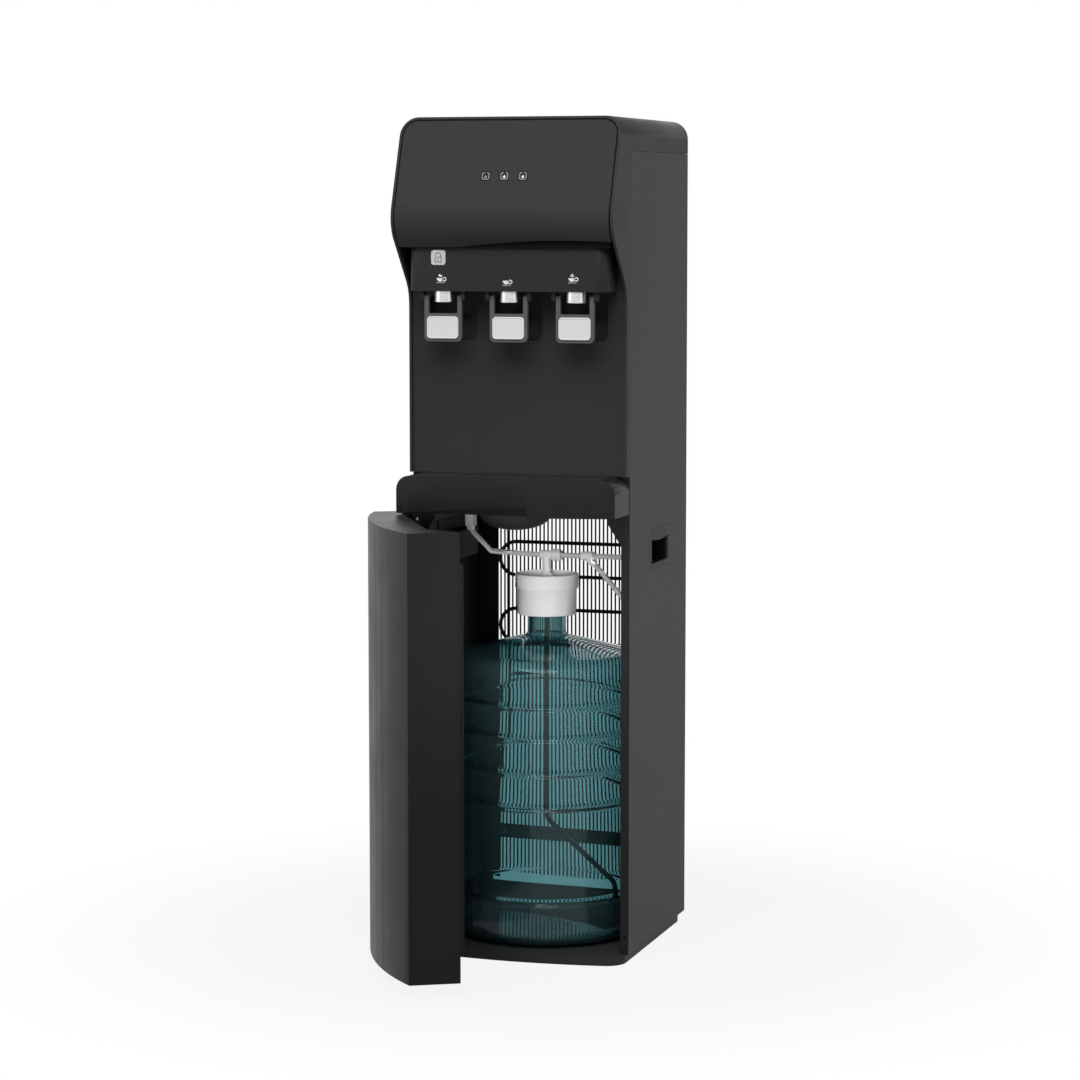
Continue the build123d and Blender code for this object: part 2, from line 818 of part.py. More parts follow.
with BuildPart() as water_bottle:
    with BuildSketch(bottle_plane):
        with BuildLine():
            outer = [
                (0, bottle_low),
                (bottle_radius - bottle_foot, bottle_low),
                (bottle_radius, bottle_low + bottle_foot),
            ]
            for z in groove_levels:
                outer.append((bottle_radius, z - groove_height))
                outer.append((bottle_radius - groove_depth, z))
                outer.append((bottle_radius, z + groove_height))
            outer.append((bottle_radius, shoulder_level))
            outer.append((bottle_radius - 22, shoulder_level + 17))
            outer.append((neck_outer, neck_low))
            outer.append((neck_outer, neck_top))
            outer.append((0, neck_top))
            Polyline(*outer, close=True)
        make_face()
    revolve(axis=bottle_axis)
    with BuildSketch(bottle_plane):
        with BuildLine():
            inner_radius = bottle_radius - groove_depth - bottle_wall
            Polyline(
                (0, bottle_low + bottle_wall),
                (inner_radius - bottle_foot, bottle_low + bottle_wall),
                (inner_radius, bottle_low + bottle_wall + bottle_foot),
                (inner_radius, shoulder_level),
                (neck_outer - bottle_wall, neck_low - bottle_wall),
                (neck_outer - bottle_wall, neck_top),
                (0, neck_top),
                close=True,
            )
        make_face()
    revolve(axis=bottle_axis, mode=Mode.SUBTRACT)
save(water_bottle.part, "water_bottle")

# Probe cap over the neck, the tee on it and the tube down into the bottle
cap_low = 459.0
cap_step = 496.0
cap_top = 516.0
cap_radius = 41.0
cap_rim = 44.5
tube_radius = 3.5
tee_radius = 6.5
tee_socket = 8.0
tee_level = 542.0
tee_left = 9.0
tee_right = 22.0
hose_radius = 3.6
probe_turn = 165.0
probe_reach = bottle_radius - 33
probe_fall = 82.0
probe_low = bottle_low + bottle_wall + 6

with BuildPart() as probe_cap:
    with BuildSketch(level(cap_low)):
        with Locations((0, bottle_y)):
            Circle(cap_radius)
    extrude(amount=cap_step - cap_low)
    with BuildSketch(level(cap_step)):
        with Locations((0, bottle_y)):
            Circle(cap_rim)
    extrude(amount=cap_top - cap_step)
    with BuildSketch(level(cap_low)):
        with Locations((0, bottle_y)):
            Circle(neck_outer + seam)
    extrude(amount=neck_top + seam - cap_low, mode=Mode.SUBTRACT)
    with BuildSketch(level(cap_low)):
        with Locations((0, bottle_y)):
            RegularPolygon(tube_radius + touch, 8)
    extrude(amount=cap_top - cap_low, mode=Mode.SUBTRACT)
save(probe_cap.part, "probe_cap")

with BuildPart() as suction_tube:
    with BuildLine() as route:
        FilletPolyline(
            (0, bottle_y, cap_top - 1),
            (0, bottle_y, probe_turn),
            (probe_reach, bottle_y, probe_turn - probe_fall),
            (probe_reach, bottle_y, probe_low),
            radius=18,
        )
    with BuildSketch(Plane(origin=(0, bottle_y, cap_top - 1), z_dir=(0, 0, -1))):
        RegularPolygon(tube_radius, 8)
    sweep(path=route.line)
save(suction_tube.part, "suction_tube")

with BuildPart() as probe_tee:
    with BuildSketch(level(cap_top + touch)):
        with Locations((0, bottle_y)):
            RegularPolygon(tee_radius, 12)
    extrude(amount=tee_level - cap_top)
    with BuildSketch(sideways(-tee_left)):
        with Locations((bottle_y, tee_level)):
            RegularPolygon(tee_radius, 12)
    extrude(amount=tee_left + tee_right - 12)
    with BuildSketch(sideways(tee_right - 14)):
        with Locations((bottle_y, tee_level)):
            RegularPolygon(tee_socket, 12)
    extrude(amount=14)
    with BuildSketch(sideways(-tee_left)):
        with Locations((bottle_y, tee_level)):
            RegularPolygon(hose_radius + 3 * touch, 8)
    extrude(amount=6, mode=Mode.SUBTRACT)
    with BuildSketch(sideways(tee_right)):
        with Locations((bottle_y, tee_level)):
            RegularPolygon(hose_radius + 3 * touch, 8)
    extrude(amount=-6, mode=Mode.SUBTRACT)
save(probe_tee.part, "probe_tee")

# Hoses from the tee to the fittings under the machine shelf and on the right wall
feed_x = -half + 55
feed_y = front + 84
feed_bend = (feed_x + 24, feed_y + 16, tee_level + 5)
vent_x = half - 34
fitting_width = 14.0
fitting_drop = 34.5
fitting_low = shelf_level - fitting_drop
branch_x = 60.0
branch_radius = 6.5
branch_length = 15.0
branch_start = 9.0
clip_x = inner_half - 20
clip_low = 424.0
clip_height = 18.0
clip_depth = 18.0
branch_dx = clip_x - branch_x
branch_dz = clip_low + clip_height + 16 - tee_level
branch_span = hypot(branch_dx, branch_dz)
branch_plane = Plane(
    origin=(branch_x, bottle_y, tee_level),
    x_dir=(0, 1, 0),
    z_dir=(branch_dx / branch_span, 0, branch_dz / branch_span),
)

with BuildPart() as feed_hose:
    with BuildLine() as route:
        FilletPolyline(
            (-tee_left + 5, bottle_y, tee_level),
            (-tee_left - 11, bottle_y, tee_level),
            feed_bend,
            (feed_x, feed_y, fitting_low - 5),
            (feed_x, feed_y, fitting_low + 6),
            radius=5,
        )
    with BuildSketch(Plane(origin=(-tee_left + 5, bottle_y, tee_level), z_dir=(-1, 0, 0))):
        RegularPolygon(hose_radius, 8)
    sweep(path=route.line)
save(feed_hose.part, "feed_hose")

with BuildPart() as vent_hose:
    with BuildLine() as route:
        FilletPolyline(
            (tee_right - 5, bottle_y, tee_level),
            (vent_x, bottle_y, tee_level),
            (vent_x, bottle_y, fitting_low + 6),
            radius=14,
        )
    with BuildSketch(Plane(origin=(tee_right - 5, bottle_y, tee_level), z_dir=(1, 0, 0))):
        RegularPolygon(hose_radius, 8)
    sweep(path=route.line)
save(vent_hose.part, "vent_hose")

with BuildPart() as drain_hose:
    with BuildLine() as route:
        FilletPolyline(
            branch_plane.from_local_coords((0, 0, branch_start + touch)),
            (clip_x, bottle_y, clip_low + clip_height + 16),
            (clip_x, bottle_y, clip_low + 6),
            radius=12,
        )
    with BuildSketch(branch_plane.offset(branch_start + touch)):
        RegularPolygon(hose_radius, 8)
    sweep(path=route.line)
save(drain_hose.part, "drain_hose")

with BuildPart() as hose_branch:
    with BuildSketch(sideways(branch_x - 9)):
        with Locations((bottle_y, tee_level)):
            RegularPolygon(branch_radius, 12)
    extrude(amount=18)
    with BuildSketch(branch_plane):
        RegularPolygon(branch_radius, 12)
    extrude(amount=branch_length)
    with BuildSketch(sideways(branch_x - 9)):
        with Locations((bottle_y, tee_level)):
            RegularPolygon(hose_radius + 3 * touch, 8)
    extrude(amount=18 + branch_length, mode=Mode.SUBTRACT)
    with BuildSketch(branch_plane.offset(branch_start)):
        RegularPolygon(hose_radius + 3 * touch, 8)
    extrude(amount=branch_length, mode=Mode.SUBTRACT)
save(hose_branch.part, "hose_branch")

with BuildPart() as hose_fittings:
    with BuildSketch(level(fitting_low)):
        with Locations((feed_x, feed_y), (vent_x, bottle_y)):
            Rectangle(fitting_width, fitting_width)
    extrude(amount=fitting_drop - touch)
    with BuildSketch(level(fitting_low)):
        with Locations((feed_x, feed_y), (vent_x, bottle_y)):
            RegularPolygon(hose_radius + 3 * touch, 8)
    extrude(amount=8, mode=Mode.SUBTRACT)
    with BuildSketch(level(clip_low)):
        area(clip_x - 8, inner_half - touch, bottle_y - clip_depth / 2, bottle_y + clip_depth / 2)
    extrude(amount=clip_height)
    with BuildSketch(level(clip_low + 5)):
        with Locations((clip_x, bottle_y)):
            RegularPolygon(hose_radius + 3 * touch, 8)
    extrude(amount=clip_height, mode=Mode.SUBTRACT)
save(hose_fittings.part, "hose_fittings")

# Machine shelf and what stands on it
shelf_front = front + 76
panel_sheet = 1.0
rear_panel_back = back - sheet - touch
rear_panel_front = rear_panel_back - panel_sheet
shelf_half = inner_half - seam
shelf_rear = rear_panel_front - seam
shelf_fold = 14.0

with BuildPart() as machine_shelf:
    with BuildSketch(level(shelf_level)):
        area(-shelf_half, shelf_half, shelf_front, shelf_rear)
    extrude(amount=shelf_top - shelf_level)
    with BuildSketch(level(shelf_top)):
        area(-shelf_half, -shelf_half + sheet, shelf_front, shelf_rear)
        area(shelf_half - sheet, shelf_half, shelf_front, shelf_rear)
        area(-shelf_half, shelf_half, shelf_rear - sheet, shelf_rear)
    extrude(amount=shelf_fold)
save(machine_shelf.part, "machine_shelf")

machine_gap = 6.0
wall_gap = 8.0
pump_x = feed_x
pump_width = 56.0
pump_depth = 42.0
pump_y = shelf_front + 4 + pump_depth / 2
pump_height = 48.0
foam_radius = (shelf_rear - wall_gap - pump_y - pump_depth / 2 - machine_gap) / 2
foam_height = line_level - shelf_top - 78
tank_margin = 16.0
tank_radius = foam_radius - tank_margin
tank_wall = 2.0
foam_x = -shelf_half + machine_gap + foam_radius
foam_y = shelf_rear - wall_gap - foam_radius
compressor_radius = 52.0
compressor_height = 150.0
compressor_gap = 10.0
compressor_x = shelf_half - compressor_gap - compressor_radius
compressor_y = shelf_rear - compressor_gap - compressor_radius
hot_radius = (compressor_y - compressor_radius - shelf_front - 3 * machine_gap) / 2
hot_height = 180.0
hot_x = shelf_half - 2 * machine_gap - hot_radius
hot_y = compressor_y - compressor_radius - machine_gap - hot_radius
motor_radius = 17.0
motor_height = 42.0

with BuildPart() as cold_tank:
    tank_low = shelf_top + touch + tank_margin
    tank_height = foam_height - 2 * tank_margin
    with BuildSketch(level(tank_low)):
        with Locations((foam_x, foam_y)):
            Circle(tank_radius)
    extrude(amount=tank_height)
    with BuildSketch(level(tank_low + tank_wall)):
        with Locations((foam_x, foam_y)):
            Circle(tank_radius - tank_wall)
    extrude(amount=tank_height - 2 * tank_wall, mode=Mode.SUBTRACT)
    with BuildSketch(level(tank_low + tank_height / 2)):
        with Locations((foam_x, foam_y)):
            RegularPolygon(line_radius - 1, 6)
    extrude(amount=tank_height, mode=Mode.SUBTRACT)
save(cold_tank.part, "cold_tank")

with BuildPart() as tank_foam:
    with BuildSketch(level(shelf_top + touch)):
        with Locations((foam_x, foam_y)):
            Circle(foam_radius)
    extrude(amount=foam_height)
    with BuildSketch(level(shelf_top + touch + tank_margin - touch)):
        with Locations((foam_x, foam_y)):
            Circle(tank_radius + touch)
    extrude(amount=foam_height - 2 * tank_margin + 2 * touch, mode=Mode.SUBTRACT)
    with BuildSketch(level(shelf_top + touch + foam_height / 2)):
        with Locations((foam_x, foam_y)):
            RegularPolygon(line_radius - 1, 6)
    extrude(amount=foam_height, mode=Mode.SUBTRACT)
save(tank_foam.part, "tank_foam")

with BuildPart() as hot_tank:
    with BuildSketch(level(shelf_top + touch)):
        with Locations((hot_x, hot_y)):
            Circle(hot_radius)
    extrude(amount=hot_height)
    with BuildSketch(level(shelf_top + touch + tank_wall)):
        with Locations((hot_x, hot_y)):
            Circle(hot_radius - tank_wall)
    extrude(amount=hot_height - 2 * tank_wall, mode=Mode.SUBTRACT)
    with BuildSketch(level(shelf_top + touch + hot_height / 2)):
        with Locations((hot_x, hot_y)):
            RegularPolygon(line_radius - 1, 6)
    extrude(amount=hot_height, mode=Mode.SUBTRACT)
save(hot_tank.part, "hot_tank")

compressor_crown = 14.0
compressor_dome = 24.0

with BuildPart() as compressor:
    with BuildSketch(level(shelf_top + touch + 12)):
        with Locations((compressor_x, compressor_y)):
            Circle(compressor_radius)
    extrude(amount=compressor_height - compressor_crown - 12)
    with BuildSketch(level(shelf_top + touch + compressor_height - compressor_crown)):
        with Locations((compressor_x, compressor_y)):
            Circle(compressor_radius - compressor_dome)
    extrude(amount=compressor_crown)
    with BuildSketch(level(shelf_top + touch)):
        with Locations((compressor_x, compressor_y)):
            with GridLocations(74, 74, 2, 2):
                Rectangle(18, 18)
    extrude(amount=9)
    with BuildSketch(level(shelf_top + touch + 9)):
        with Locations((compressor_x, compressor_y)):
            Rectangle(92, 92)
    extrude(amount=3)
save(compressor.part, "compressor")

with BuildPart() as water_pump:
    with BuildSketch(level(shelf_top + touch)):
        with Locations((pump_x, pump_y)):
            Rectangle(pump_width, pump_depth)
    extrude(amount=pump_height)
    with BuildSketch(level(shelf_top + touch + pump_height)):
        with Locations((pump_x, pump_y)):
            Circle(motor_radius)
    extrude(amount=motor_height)
save(water_pump.part, "water_pump")

# Lines from the tanks and the pump to the three valves
line_ends = (
    (foam_x, foam_y, shelf_top + touch + foam_height),
    (pump_x + pump_width / 2 - 6, pump_y, shelf_top + touch + pump_height),
    (hot_x, hot_y, shelf_top + touch + hot_height),
)
for c, start, name in zip(tap_centres, line_ends, ("cold_line", "room_line", "hot_line")):
    with BuildPart() as line:
        with BuildLine() as route:
            FilletPolyline(
                (start[0], start[1], start[2] + touch),
                (start[0], start[1], line_level),
                (c, front + 30, line_level),
                (c, front - line_reach + touch, line_level),
                radius=16,
            )
        with BuildSketch(level(start[2] + touch)):
            with Locations((start[0], start[1])):
                RegularPolygon(line_radius, 6)
        sweep(path=route.line)
    save(line.part, name)

# Open back: rails, brace, wire-on-tube condenser and the pipe that feeds it
rail_width = 34.0
rail_face = back - 24
rail_sheet = 1.2
rail_low = base_thickness + base_wall_height + 1
rail_side = 14.0
rail_high = shelf_level - touch
brace_low = 101.0
brace_height = 18.0
tube_y = back - 12
pass_pitch = 49.0
pass_count = 9
pass_low = 149.5
pass_half = half - 33
condenser_radius = 2.7
wire_size = 2.6
wire_pitch = 6.0
wire_low = 52.0
wire_high = shelf_level - 12
wire_half = half - 34
wire_count = int(2 * wire_half / wire_pitch) + 1
wire_y = tube_y - condenser_radius - wire_size / 2 - touch

with BuildPart() as condenser_rails:
    with BuildSketch(level(rail_low)):
        area(half - rail_width, inner_half - touch, rail_face, rail_face + rail_sheet)
        area(inner_half - touch - rail_sheet, inner_half - touch, rail_face, rail_face + rail_side)
        area(-inner_half + touch, -half + rail_width, rail_face, rail_face + rail_sheet)
        area(-inner_half + touch, -inner_half + touch + rail_sheet, rail_face, rail_face + rail_side)
    extrude(amount=rail_high - rail_low)
save(condenser_rails.part, "condenser_rails")

with BuildPart() as rear_brace:
    with BuildSketch(facing(rail_face - touch)):
        area(-half + rail_width - 10, half - rail_width + 10, brace_low, brace_low + brace_height)
    extrude(amount=rail_sheet)
    with BuildSketch(level(brace_low)):
        area(
            -half + rail_width + 2,
            half - rail_width - 2,
            rail_face - touch - rail_sheet,
            wire_y - wire_size / 2 - touch,
        )
    extrude(amount=rail_sheet)
save(rear_brace.part, "rear_brace")

with BuildPart() as condenser_tube:
    with BuildLine() as route:
        bend = pass_pitch / 2
        for i in range(pass_count):
            z = pass_low + i * pass_pitch
            s = 1 if i % 2 == 0 else -1
            Line((-s * (pass_half - bend), tube_y, z), (s * (pass_half - bend), tube_y, z))
            if i < pass_count - 1:
                ThreePointArc(
                    (s * (pass_half - bend), tube_y, z),
                    (s * pass_half, tube_y, z + bend),
                    (s * (pass_half - bend), tube_y, z + pass_pitch),
                )
    with BuildSketch(Plane(origin=(-(pass_half - bend), tube_y, pass_low), z_dir=(1, 0, 0))):
        RegularPolygon(condenser_radius, 6)
    sweep(path=route.line)
save(condenser_tube.part, "condenser_tube")

with BuildPart() as condenser_wires:
    with BuildSketch(level(wire_low)):
        with Locations((0, wire_y)):
            with GridLocations(wire_pitch, wire_pitch, wire_count, 1):
                Rectangle(wire_size, wire_size)
    extrude(amount=wire_high - wire_low)
save(condenser_wires.part, "condenser_wires")

pipe_radius = 2.3
pipe_x = -half + 48
pipe_low = 245.0
pipe_y = (rail_face + rail_sheet + wire_y - wire_size / 2) / 2
pipe_end = -half + 14
clip_width = 5.0
clip_places = [
    (side * (pass_half + 2.5), pass_low + (i + 0.5) * pass_pitch)
    for side, i in ((1, 0), (-1, 1), (1, pass_count - 3), (-1, pass_count - 2))
]

with BuildPart() as refrigerant_pipe:
    with BuildLine() as route:
        FilletPolyline(
            (pipe_x, pipe_y, shelf_level - touch),
            (pipe_x, pipe_y, pipe_low),
            (pipe_end, pipe_y, pipe_low),
            radius=14,
        )
    with BuildSketch(level(shelf_level - touch)):
        with Locations((pipe_x, pipe_y)):
            RegularPolygon(pipe_radius, 6)
    sweep(path=route.line)
save(refrigerant_pipe.part, "refrigerant_pipe")

with BuildPart() as condenser_clips:
    with BuildSketch(facing(rail_face + rail_sheet + touch)):
        with Locations(*clip_places):
            Rectangle(clip_width, 2 * clip_width)
    extrude(amount=-(tube_y - condenser_radius - touch - rail_face - rail_sheet - touch))
save(condenser_clips.part, "condenser_clips")

# Upper rear panel with louvre slots, two rocker switches, a cord gland and a drain plug
rear_half = half - cheek - seam
rear_top = height - cheek - seam
vent_width = 90.0
vent_height = 5.0
vent_pitch = 14.0
vent_rows = 9
vent_level = shelf_top + 120
rocker_pitch = 44.0
rocker_drop = 147.0
rocker_level = height - rocker_drop
rocker_width = 12.0
rocker_height = 21.0
rocker_tilt = 9.0
bezel_wall = 2.0
bezel_flange = 3.0
bezel_depth = 14.0
axle_radius = 1.5
gland_x = half - 60
gland_level = shelf_top + 36
gland_radius = 8.0
plug_x = -half + 70
plug_level = shelf_top + 40
plug_radius = 9.0
rocker_places = [(-rocker_pitch / 2, rocker_level), (rocker_pitch / 2, rocker_level)]
bezel_width = rocker_width + 2 * seam + 2 * bezel_wall
bezel_height = rocker_height + 2 * seam + 2 * bezel_wall

with BuildPart() as rear_panel:
    with BuildSketch(facing(rear_panel_back)) as outline:
        area(-rear_half, rear_half, shelf_level, rear_top)
        fillet(outline.vertices().group_by(Axis.Y)[-1], hood_corner - cheek - seam)
        with Locations(*[(x, vent_level + i * vent_pitch) for x in (-70, 70) for i in range(vent_rows)]):
            Rectangle(vent_width, vent_height, mode=Mode.SUBTRACT)
        with Locations(*rocker_places):
            Rectangle(bezel_width + 2 * touch, bezel_height + 2 * touch, mode=Mode.SUBTRACT)
        with Locations((gland_x, gland_level)):
            RegularPolygon(gland_radius + touch, 12, mode=Mode.SUBTRACT)
        with Locations((plug_x, plug_level)):
            RegularPolygon(plug_radius - 3 + touch, 8, mode=Mode.SUBTRACT)
    extrude(amount=panel_sheet)
save(rear_panel.part, "rear_panel")

bezel_face = rear_panel_back + touch
pivot_y = bezel_face - 3.0

with BuildPart() as switch_bezels:
    with BuildSketch(facing(bezel_face)):
        with Locations(*rocker_places):
            Rectangle(bezel_width + 2 * bezel_flange, bezel_height + 2 * bezel_flange)
    extrude(amount=-0.9)
    with BuildSketch(facing(bezel_face)):
        with Locations(*rocker_places):
            Rectangle(bezel_width, bezel_height)
    extrude(amount=bezel_depth)
    with BuildSketch(facing(bezel_face - 0.9)):
        with Locations(*rocker_places):
            Rectangle(rocker_width + 2 * seam, rocker_height + 2 * seam)
    extrude(amount=bezel_depth - bezel_wall - 0.9, mode=Mode.SUBTRACT)
    with BuildSketch(facing(bezel_face + 0.9)):
        with Locations(*rocker_places):
            Rectangle(rocker_width + 2 * seam, rocker_height + 2 * seam)
    extrude(amount=4, mode=Mode.SUBTRACT)
    with BuildSketch(sideways(-half)):
        with Locations((pivot_y, rocker_level)):
            Circle(axle_radius + running)
    extrude(amount=width, mode=Mode.SUBTRACT)
save(switch_bezels.part, "switch_bezels")

for (x, z), name in zip(rocker_places, ("cooling_switch", "heating_switch")):
    with BuildPart() as rocker:
        tilted = Plane(origin=(x, pivot_y, z), x_dir=(0, 1, 0), z_dir=(1, 0, 0)).rotated((rocker_tilt, 0, 0))
        with BuildSketch(tilted.offset(-rocker_width / 2)):
            with BuildLine():
                Polyline(
                    (3.4, rocker_height / 2 - 0.8),
                    (2.2, 0),
                    (3.4, -rocker_height / 2 + 0.8),
                    (0, -rocker_height / 2 + 0.8),
                    (-5, -3),
                    (-5, 3),
                    (0, rocker_height / 2 - 0.8),
                    close=True,
                )
            make_face()
        extrude(amount=rocker_width)
        with BuildSketch(tilted.offset(-rocker_width / 2 - seam - bezel_wall)):
            Circle(axle_radius)
        extrude(amount=rocker_width + 2 * seam + 2 * bezel_wall)
    save(rocker.part, name)

with BuildPart() as cord_gland:
    with BuildSketch(facing(rear_panel_back + touch)):
        with Locations((gland_x, gland_level)):
            RegularPolygon(gland_radius + 3, 12)
    extrude(amount=-0.9)
    with BuildSketch(facing(rear_panel_back + touch)):
        with Locations((gland_x, gland_level)):
            RegularPolygon(gland_radius, 12)
    extrude(amount=10)
    with BuildSketch(facing(rear_panel_back + touch + 1)):
        with Locations((gland_x, gland_level)):
            RegularPolygon(4, 8)
    extrude(amount=20, mode=Mode.SUBTRACT)
save(cord_gland.part, "cord_gland")

with BuildPart() as drain_plug:
    with BuildSketch(facing(rear_panel_back + touch)):
        with Locations((plug_x, plug_level)):
            RegularPolygon(plug_radius, 6)
    extrude(amount=-0.9)
    with BuildSketch(facing(rear_panel_back + touch)):
        with Locations((plug_x, plug_level)):
            RegularPolygon(plug_radius - 3, 8)
    extrude(amount=6)
save(drain_plug.part, "drain_plug")
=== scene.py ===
import json
from math import cos, pi, radians, sin

import bmesh
import bpy
from mathutils import Matrix, Vector


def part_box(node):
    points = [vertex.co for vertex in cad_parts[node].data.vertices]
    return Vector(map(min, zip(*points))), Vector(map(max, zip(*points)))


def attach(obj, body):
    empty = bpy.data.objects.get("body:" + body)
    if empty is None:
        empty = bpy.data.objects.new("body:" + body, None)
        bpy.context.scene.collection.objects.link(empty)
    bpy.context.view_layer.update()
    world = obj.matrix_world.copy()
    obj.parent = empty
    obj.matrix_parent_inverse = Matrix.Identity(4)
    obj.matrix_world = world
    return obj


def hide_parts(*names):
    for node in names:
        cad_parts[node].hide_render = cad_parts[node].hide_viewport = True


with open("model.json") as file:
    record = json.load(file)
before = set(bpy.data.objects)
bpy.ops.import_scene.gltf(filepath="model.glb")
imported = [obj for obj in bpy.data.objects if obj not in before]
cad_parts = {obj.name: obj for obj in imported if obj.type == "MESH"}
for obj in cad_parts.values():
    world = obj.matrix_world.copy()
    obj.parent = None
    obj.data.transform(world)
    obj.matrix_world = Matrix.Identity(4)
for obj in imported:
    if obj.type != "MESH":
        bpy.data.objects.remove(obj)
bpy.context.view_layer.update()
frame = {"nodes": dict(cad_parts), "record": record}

mm = 0.001
nodes = frame["nodes"]
to_front = (0, -1, 0)
to_back = (0, 1, 0)
to_right = (1, 0, 0)


def linear(code):
    """An sRGB hex code as a linear colour."""
    shares = [int(code[i : i + 2], 16) / 255 for i in (1, 3, 5)]
    return [s / 12.92 if s <= 0.04045 else ((s + 0.055) / 1.055) ** 2.4 for s in shares] + [1.0]


def add(tree, kind, inputs=None, **settings):
    """Adds a node: inputs holds values or the sockets to link, settings the node's own properties."""
    node = tree.nodes.new(kind)
    for name, value in settings.items():
        setattr(node, name, value)
    for key, value in (inputs or {}).items():
        if isinstance(value, bpy.types.NodeSocket):
            tree.links.new(value, node.inputs[key])
        else:
            node.inputs[key].default_value = value
    return node


def begin(name, **sockets):
    """Starts a material: sockets holds the numbers that are the same all over its surface."""
    made = bpy.data.materials.new(name)
    made.use_nodes = True
    shader = made.node_tree.nodes["Principled BSDF"]
    for key, value in sockets.items():
        shader.inputs[key.replace("_", " ")].default_value = value
    return made, made.node_tree, shader


# Injection-moulded ABS: the tool's spark-eroded grain breaks up the gloss, and the sheen drifts a little
# from the gate to the edges of a panel
def moulded_plastic(name, dark, light, rough, grain=1.1, depth=0.05, shine=0.07):
    made, tree, shader = begin(name, IOR=1.53, Specular_IOR_Level=shine)
    place = add(tree, "ShaderNodeTexCoord").outputs["Object"]
    drift = add(tree, "ShaderNodeTexNoise", {"Vector": place, "Scale": 1 / (90 * mm), "Detail": 3.0})
    tint = add(
        tree,
        "ShaderNodeMix",
        {0: drift.outputs["Fac"], 6: linear(dark), 7: linear(light)},
        data_type="RGBA",
    )
    gloss = add(
        tree,
        "ShaderNodeMapRange",
        {
            "Value": drift.outputs["Fac"],
            "From Min": 0.3,
            "From Max": 0.7,
            "To Min": rough - 0.04,
            "To Max": rough + 0.04,
        },
    )
    texture = add(tree, "ShaderNodeTexNoise", {"Vector": place, "Scale": 1 / (grain * mm), "Detail": 2.0})
    relief = add(
        tree,
        "ShaderNodeBump",
        {"Height": texture.outputs["Fac"], "Strength": 0.3, "Distance": depth * mm},
    )
    tree.links.new(tint.outputs[2], shader.inputs["Base Color"])
    tree.links.new(gloss.outputs["Result"], shader.inputs["Roughness"])
    tree.links.new(relief.outputs["Normal"], shader.inputs["Normal"])
    return made


# Powder-coated sheet steel: the baked coat flows into a soft orange peel that ripples the highlights
def powder_coat(name, dark, light, rough, shine=0.06):
    made, tree, shader = begin(name, IOR=1.5, Specular_IOR_Level=shine)
    place = add(tree, "ShaderNodeTexCoord").outputs["Object"]
    peel = add(tree, "ShaderNodeTexNoise", {"Vector": place, "Scale": 1 / (3.2 * mm), "Detail": 1.5})
    drift = add(tree, "ShaderNodeTexNoise", {"Vector": place, "Scale": 1 / (140 * mm), "Detail": 2.0})
    tint = add(
        tree,
        "ShaderNodeMix",
        {0: drift.outputs["Fac"], 6: linear(dark), 7: linear(light)},
        data_type="RGBA",
    )
    gloss = add(
        tree,
        "ShaderNodeMapRange",
        {"Value": peel.outputs["Fac"], "To Min": rough - 0.05, "To Max": rough + 0.05},
    )
    relief = add(
        tree,
        "ShaderNodeBump",
        {"Height": peel.outputs["Fac"], "Strength": 0.2, "Distance": 0.1 * mm},
    )
    tree.links.new(tint.outputs[2], shader.inputs["Base Color"])
    tree.links.new(gloss.outputs["Result"], shader.inputs["Roughness"])
    tree.links.new(relief.outputs["Normal"], shader.inputs["Normal"])
    return made


# Stainless steel, brushed: fine straight scratches stretch the highlight across the grain
def brushed_steel(name, dark, light, rough, along):
    made, tree, shader = begin(name, Metallic=1.0)
    place = add(tree, "ShaderNodeTexCoord").outputs["Object"]
    stretch = add(tree, "ShaderNodeMapping", {"Vector": place, "Scale": along})
    lines = add(
        tree,
        "ShaderNodeTexNoise",
        {"Vector": stretch.outputs["Vector"], "Scale": 1 / (0.8 * mm), "Detail": 4.0},
    )
    tint = add(
        tree,
        "ShaderNodeMix",
        {0: lines.outputs["Fac"], 6: linear(dark), 7: linear(light)},
        data_type="RGBA",
    )
    gloss = add(
        tree,
        "ShaderNodeMapRange",
        {"Value": lines.outputs["Fac"], "To Min": rough - 0.08, "To Max": rough + 0.08},
    )
    tree.links.new(tint.outputs[2], shader.inputs["Base Color"])
    tree.links.new(gloss.outputs["Result"], shader.inputs["Roughness"])
    return made


# Tinted polycarbonate, blow-moulded: clear face-on and deep in colour where the wall turns away and the
# eye looks along it, with a faint waviness that bends what stands behind it
def tinted_polycarbonate(name, dark, light):
    made, tree, shader = begin(name, Transmission_Weight=0.94, IOR=1.22, Roughness=0.0)
    shader.inputs["Base Color"].default_value = linear(light)
    place = add(tree, "ShaderNodeTexCoord").outputs["Object"]
    wave = add(tree, "ShaderNodeTexNoise", {"Vector": place, "Scale": 1 / (35 * mm), "Detail": 1.0})
    relief = add(
        tree,
        "ShaderNodeBump",
        {"Height": wave.outputs["Fac"], "Strength": 0.1, "Distance": 0.2 * mm},
    )
    turned = add(tree, "ShaderNodeLayerWeight", {"Blend": 0.5})
    depth = add(
        tree,
        "ShaderNodeMapRange",
        {"Value": turned.outputs["Facing"], "From Min": 0.15, "From Max": 0.85},
    )
    tint = add(
        tree,
        "ShaderNodeMix",
        {0: depth.outputs["Result"], 6: linear(light), 7: linear(dark)},
        data_type="RGBA",
    )
    tree.links.new(tint.outputs[2], shader.inputs["Base Color"])
    tree.links.new(relief.outputs["Normal"], shader.inputs["Normal"])
    return made


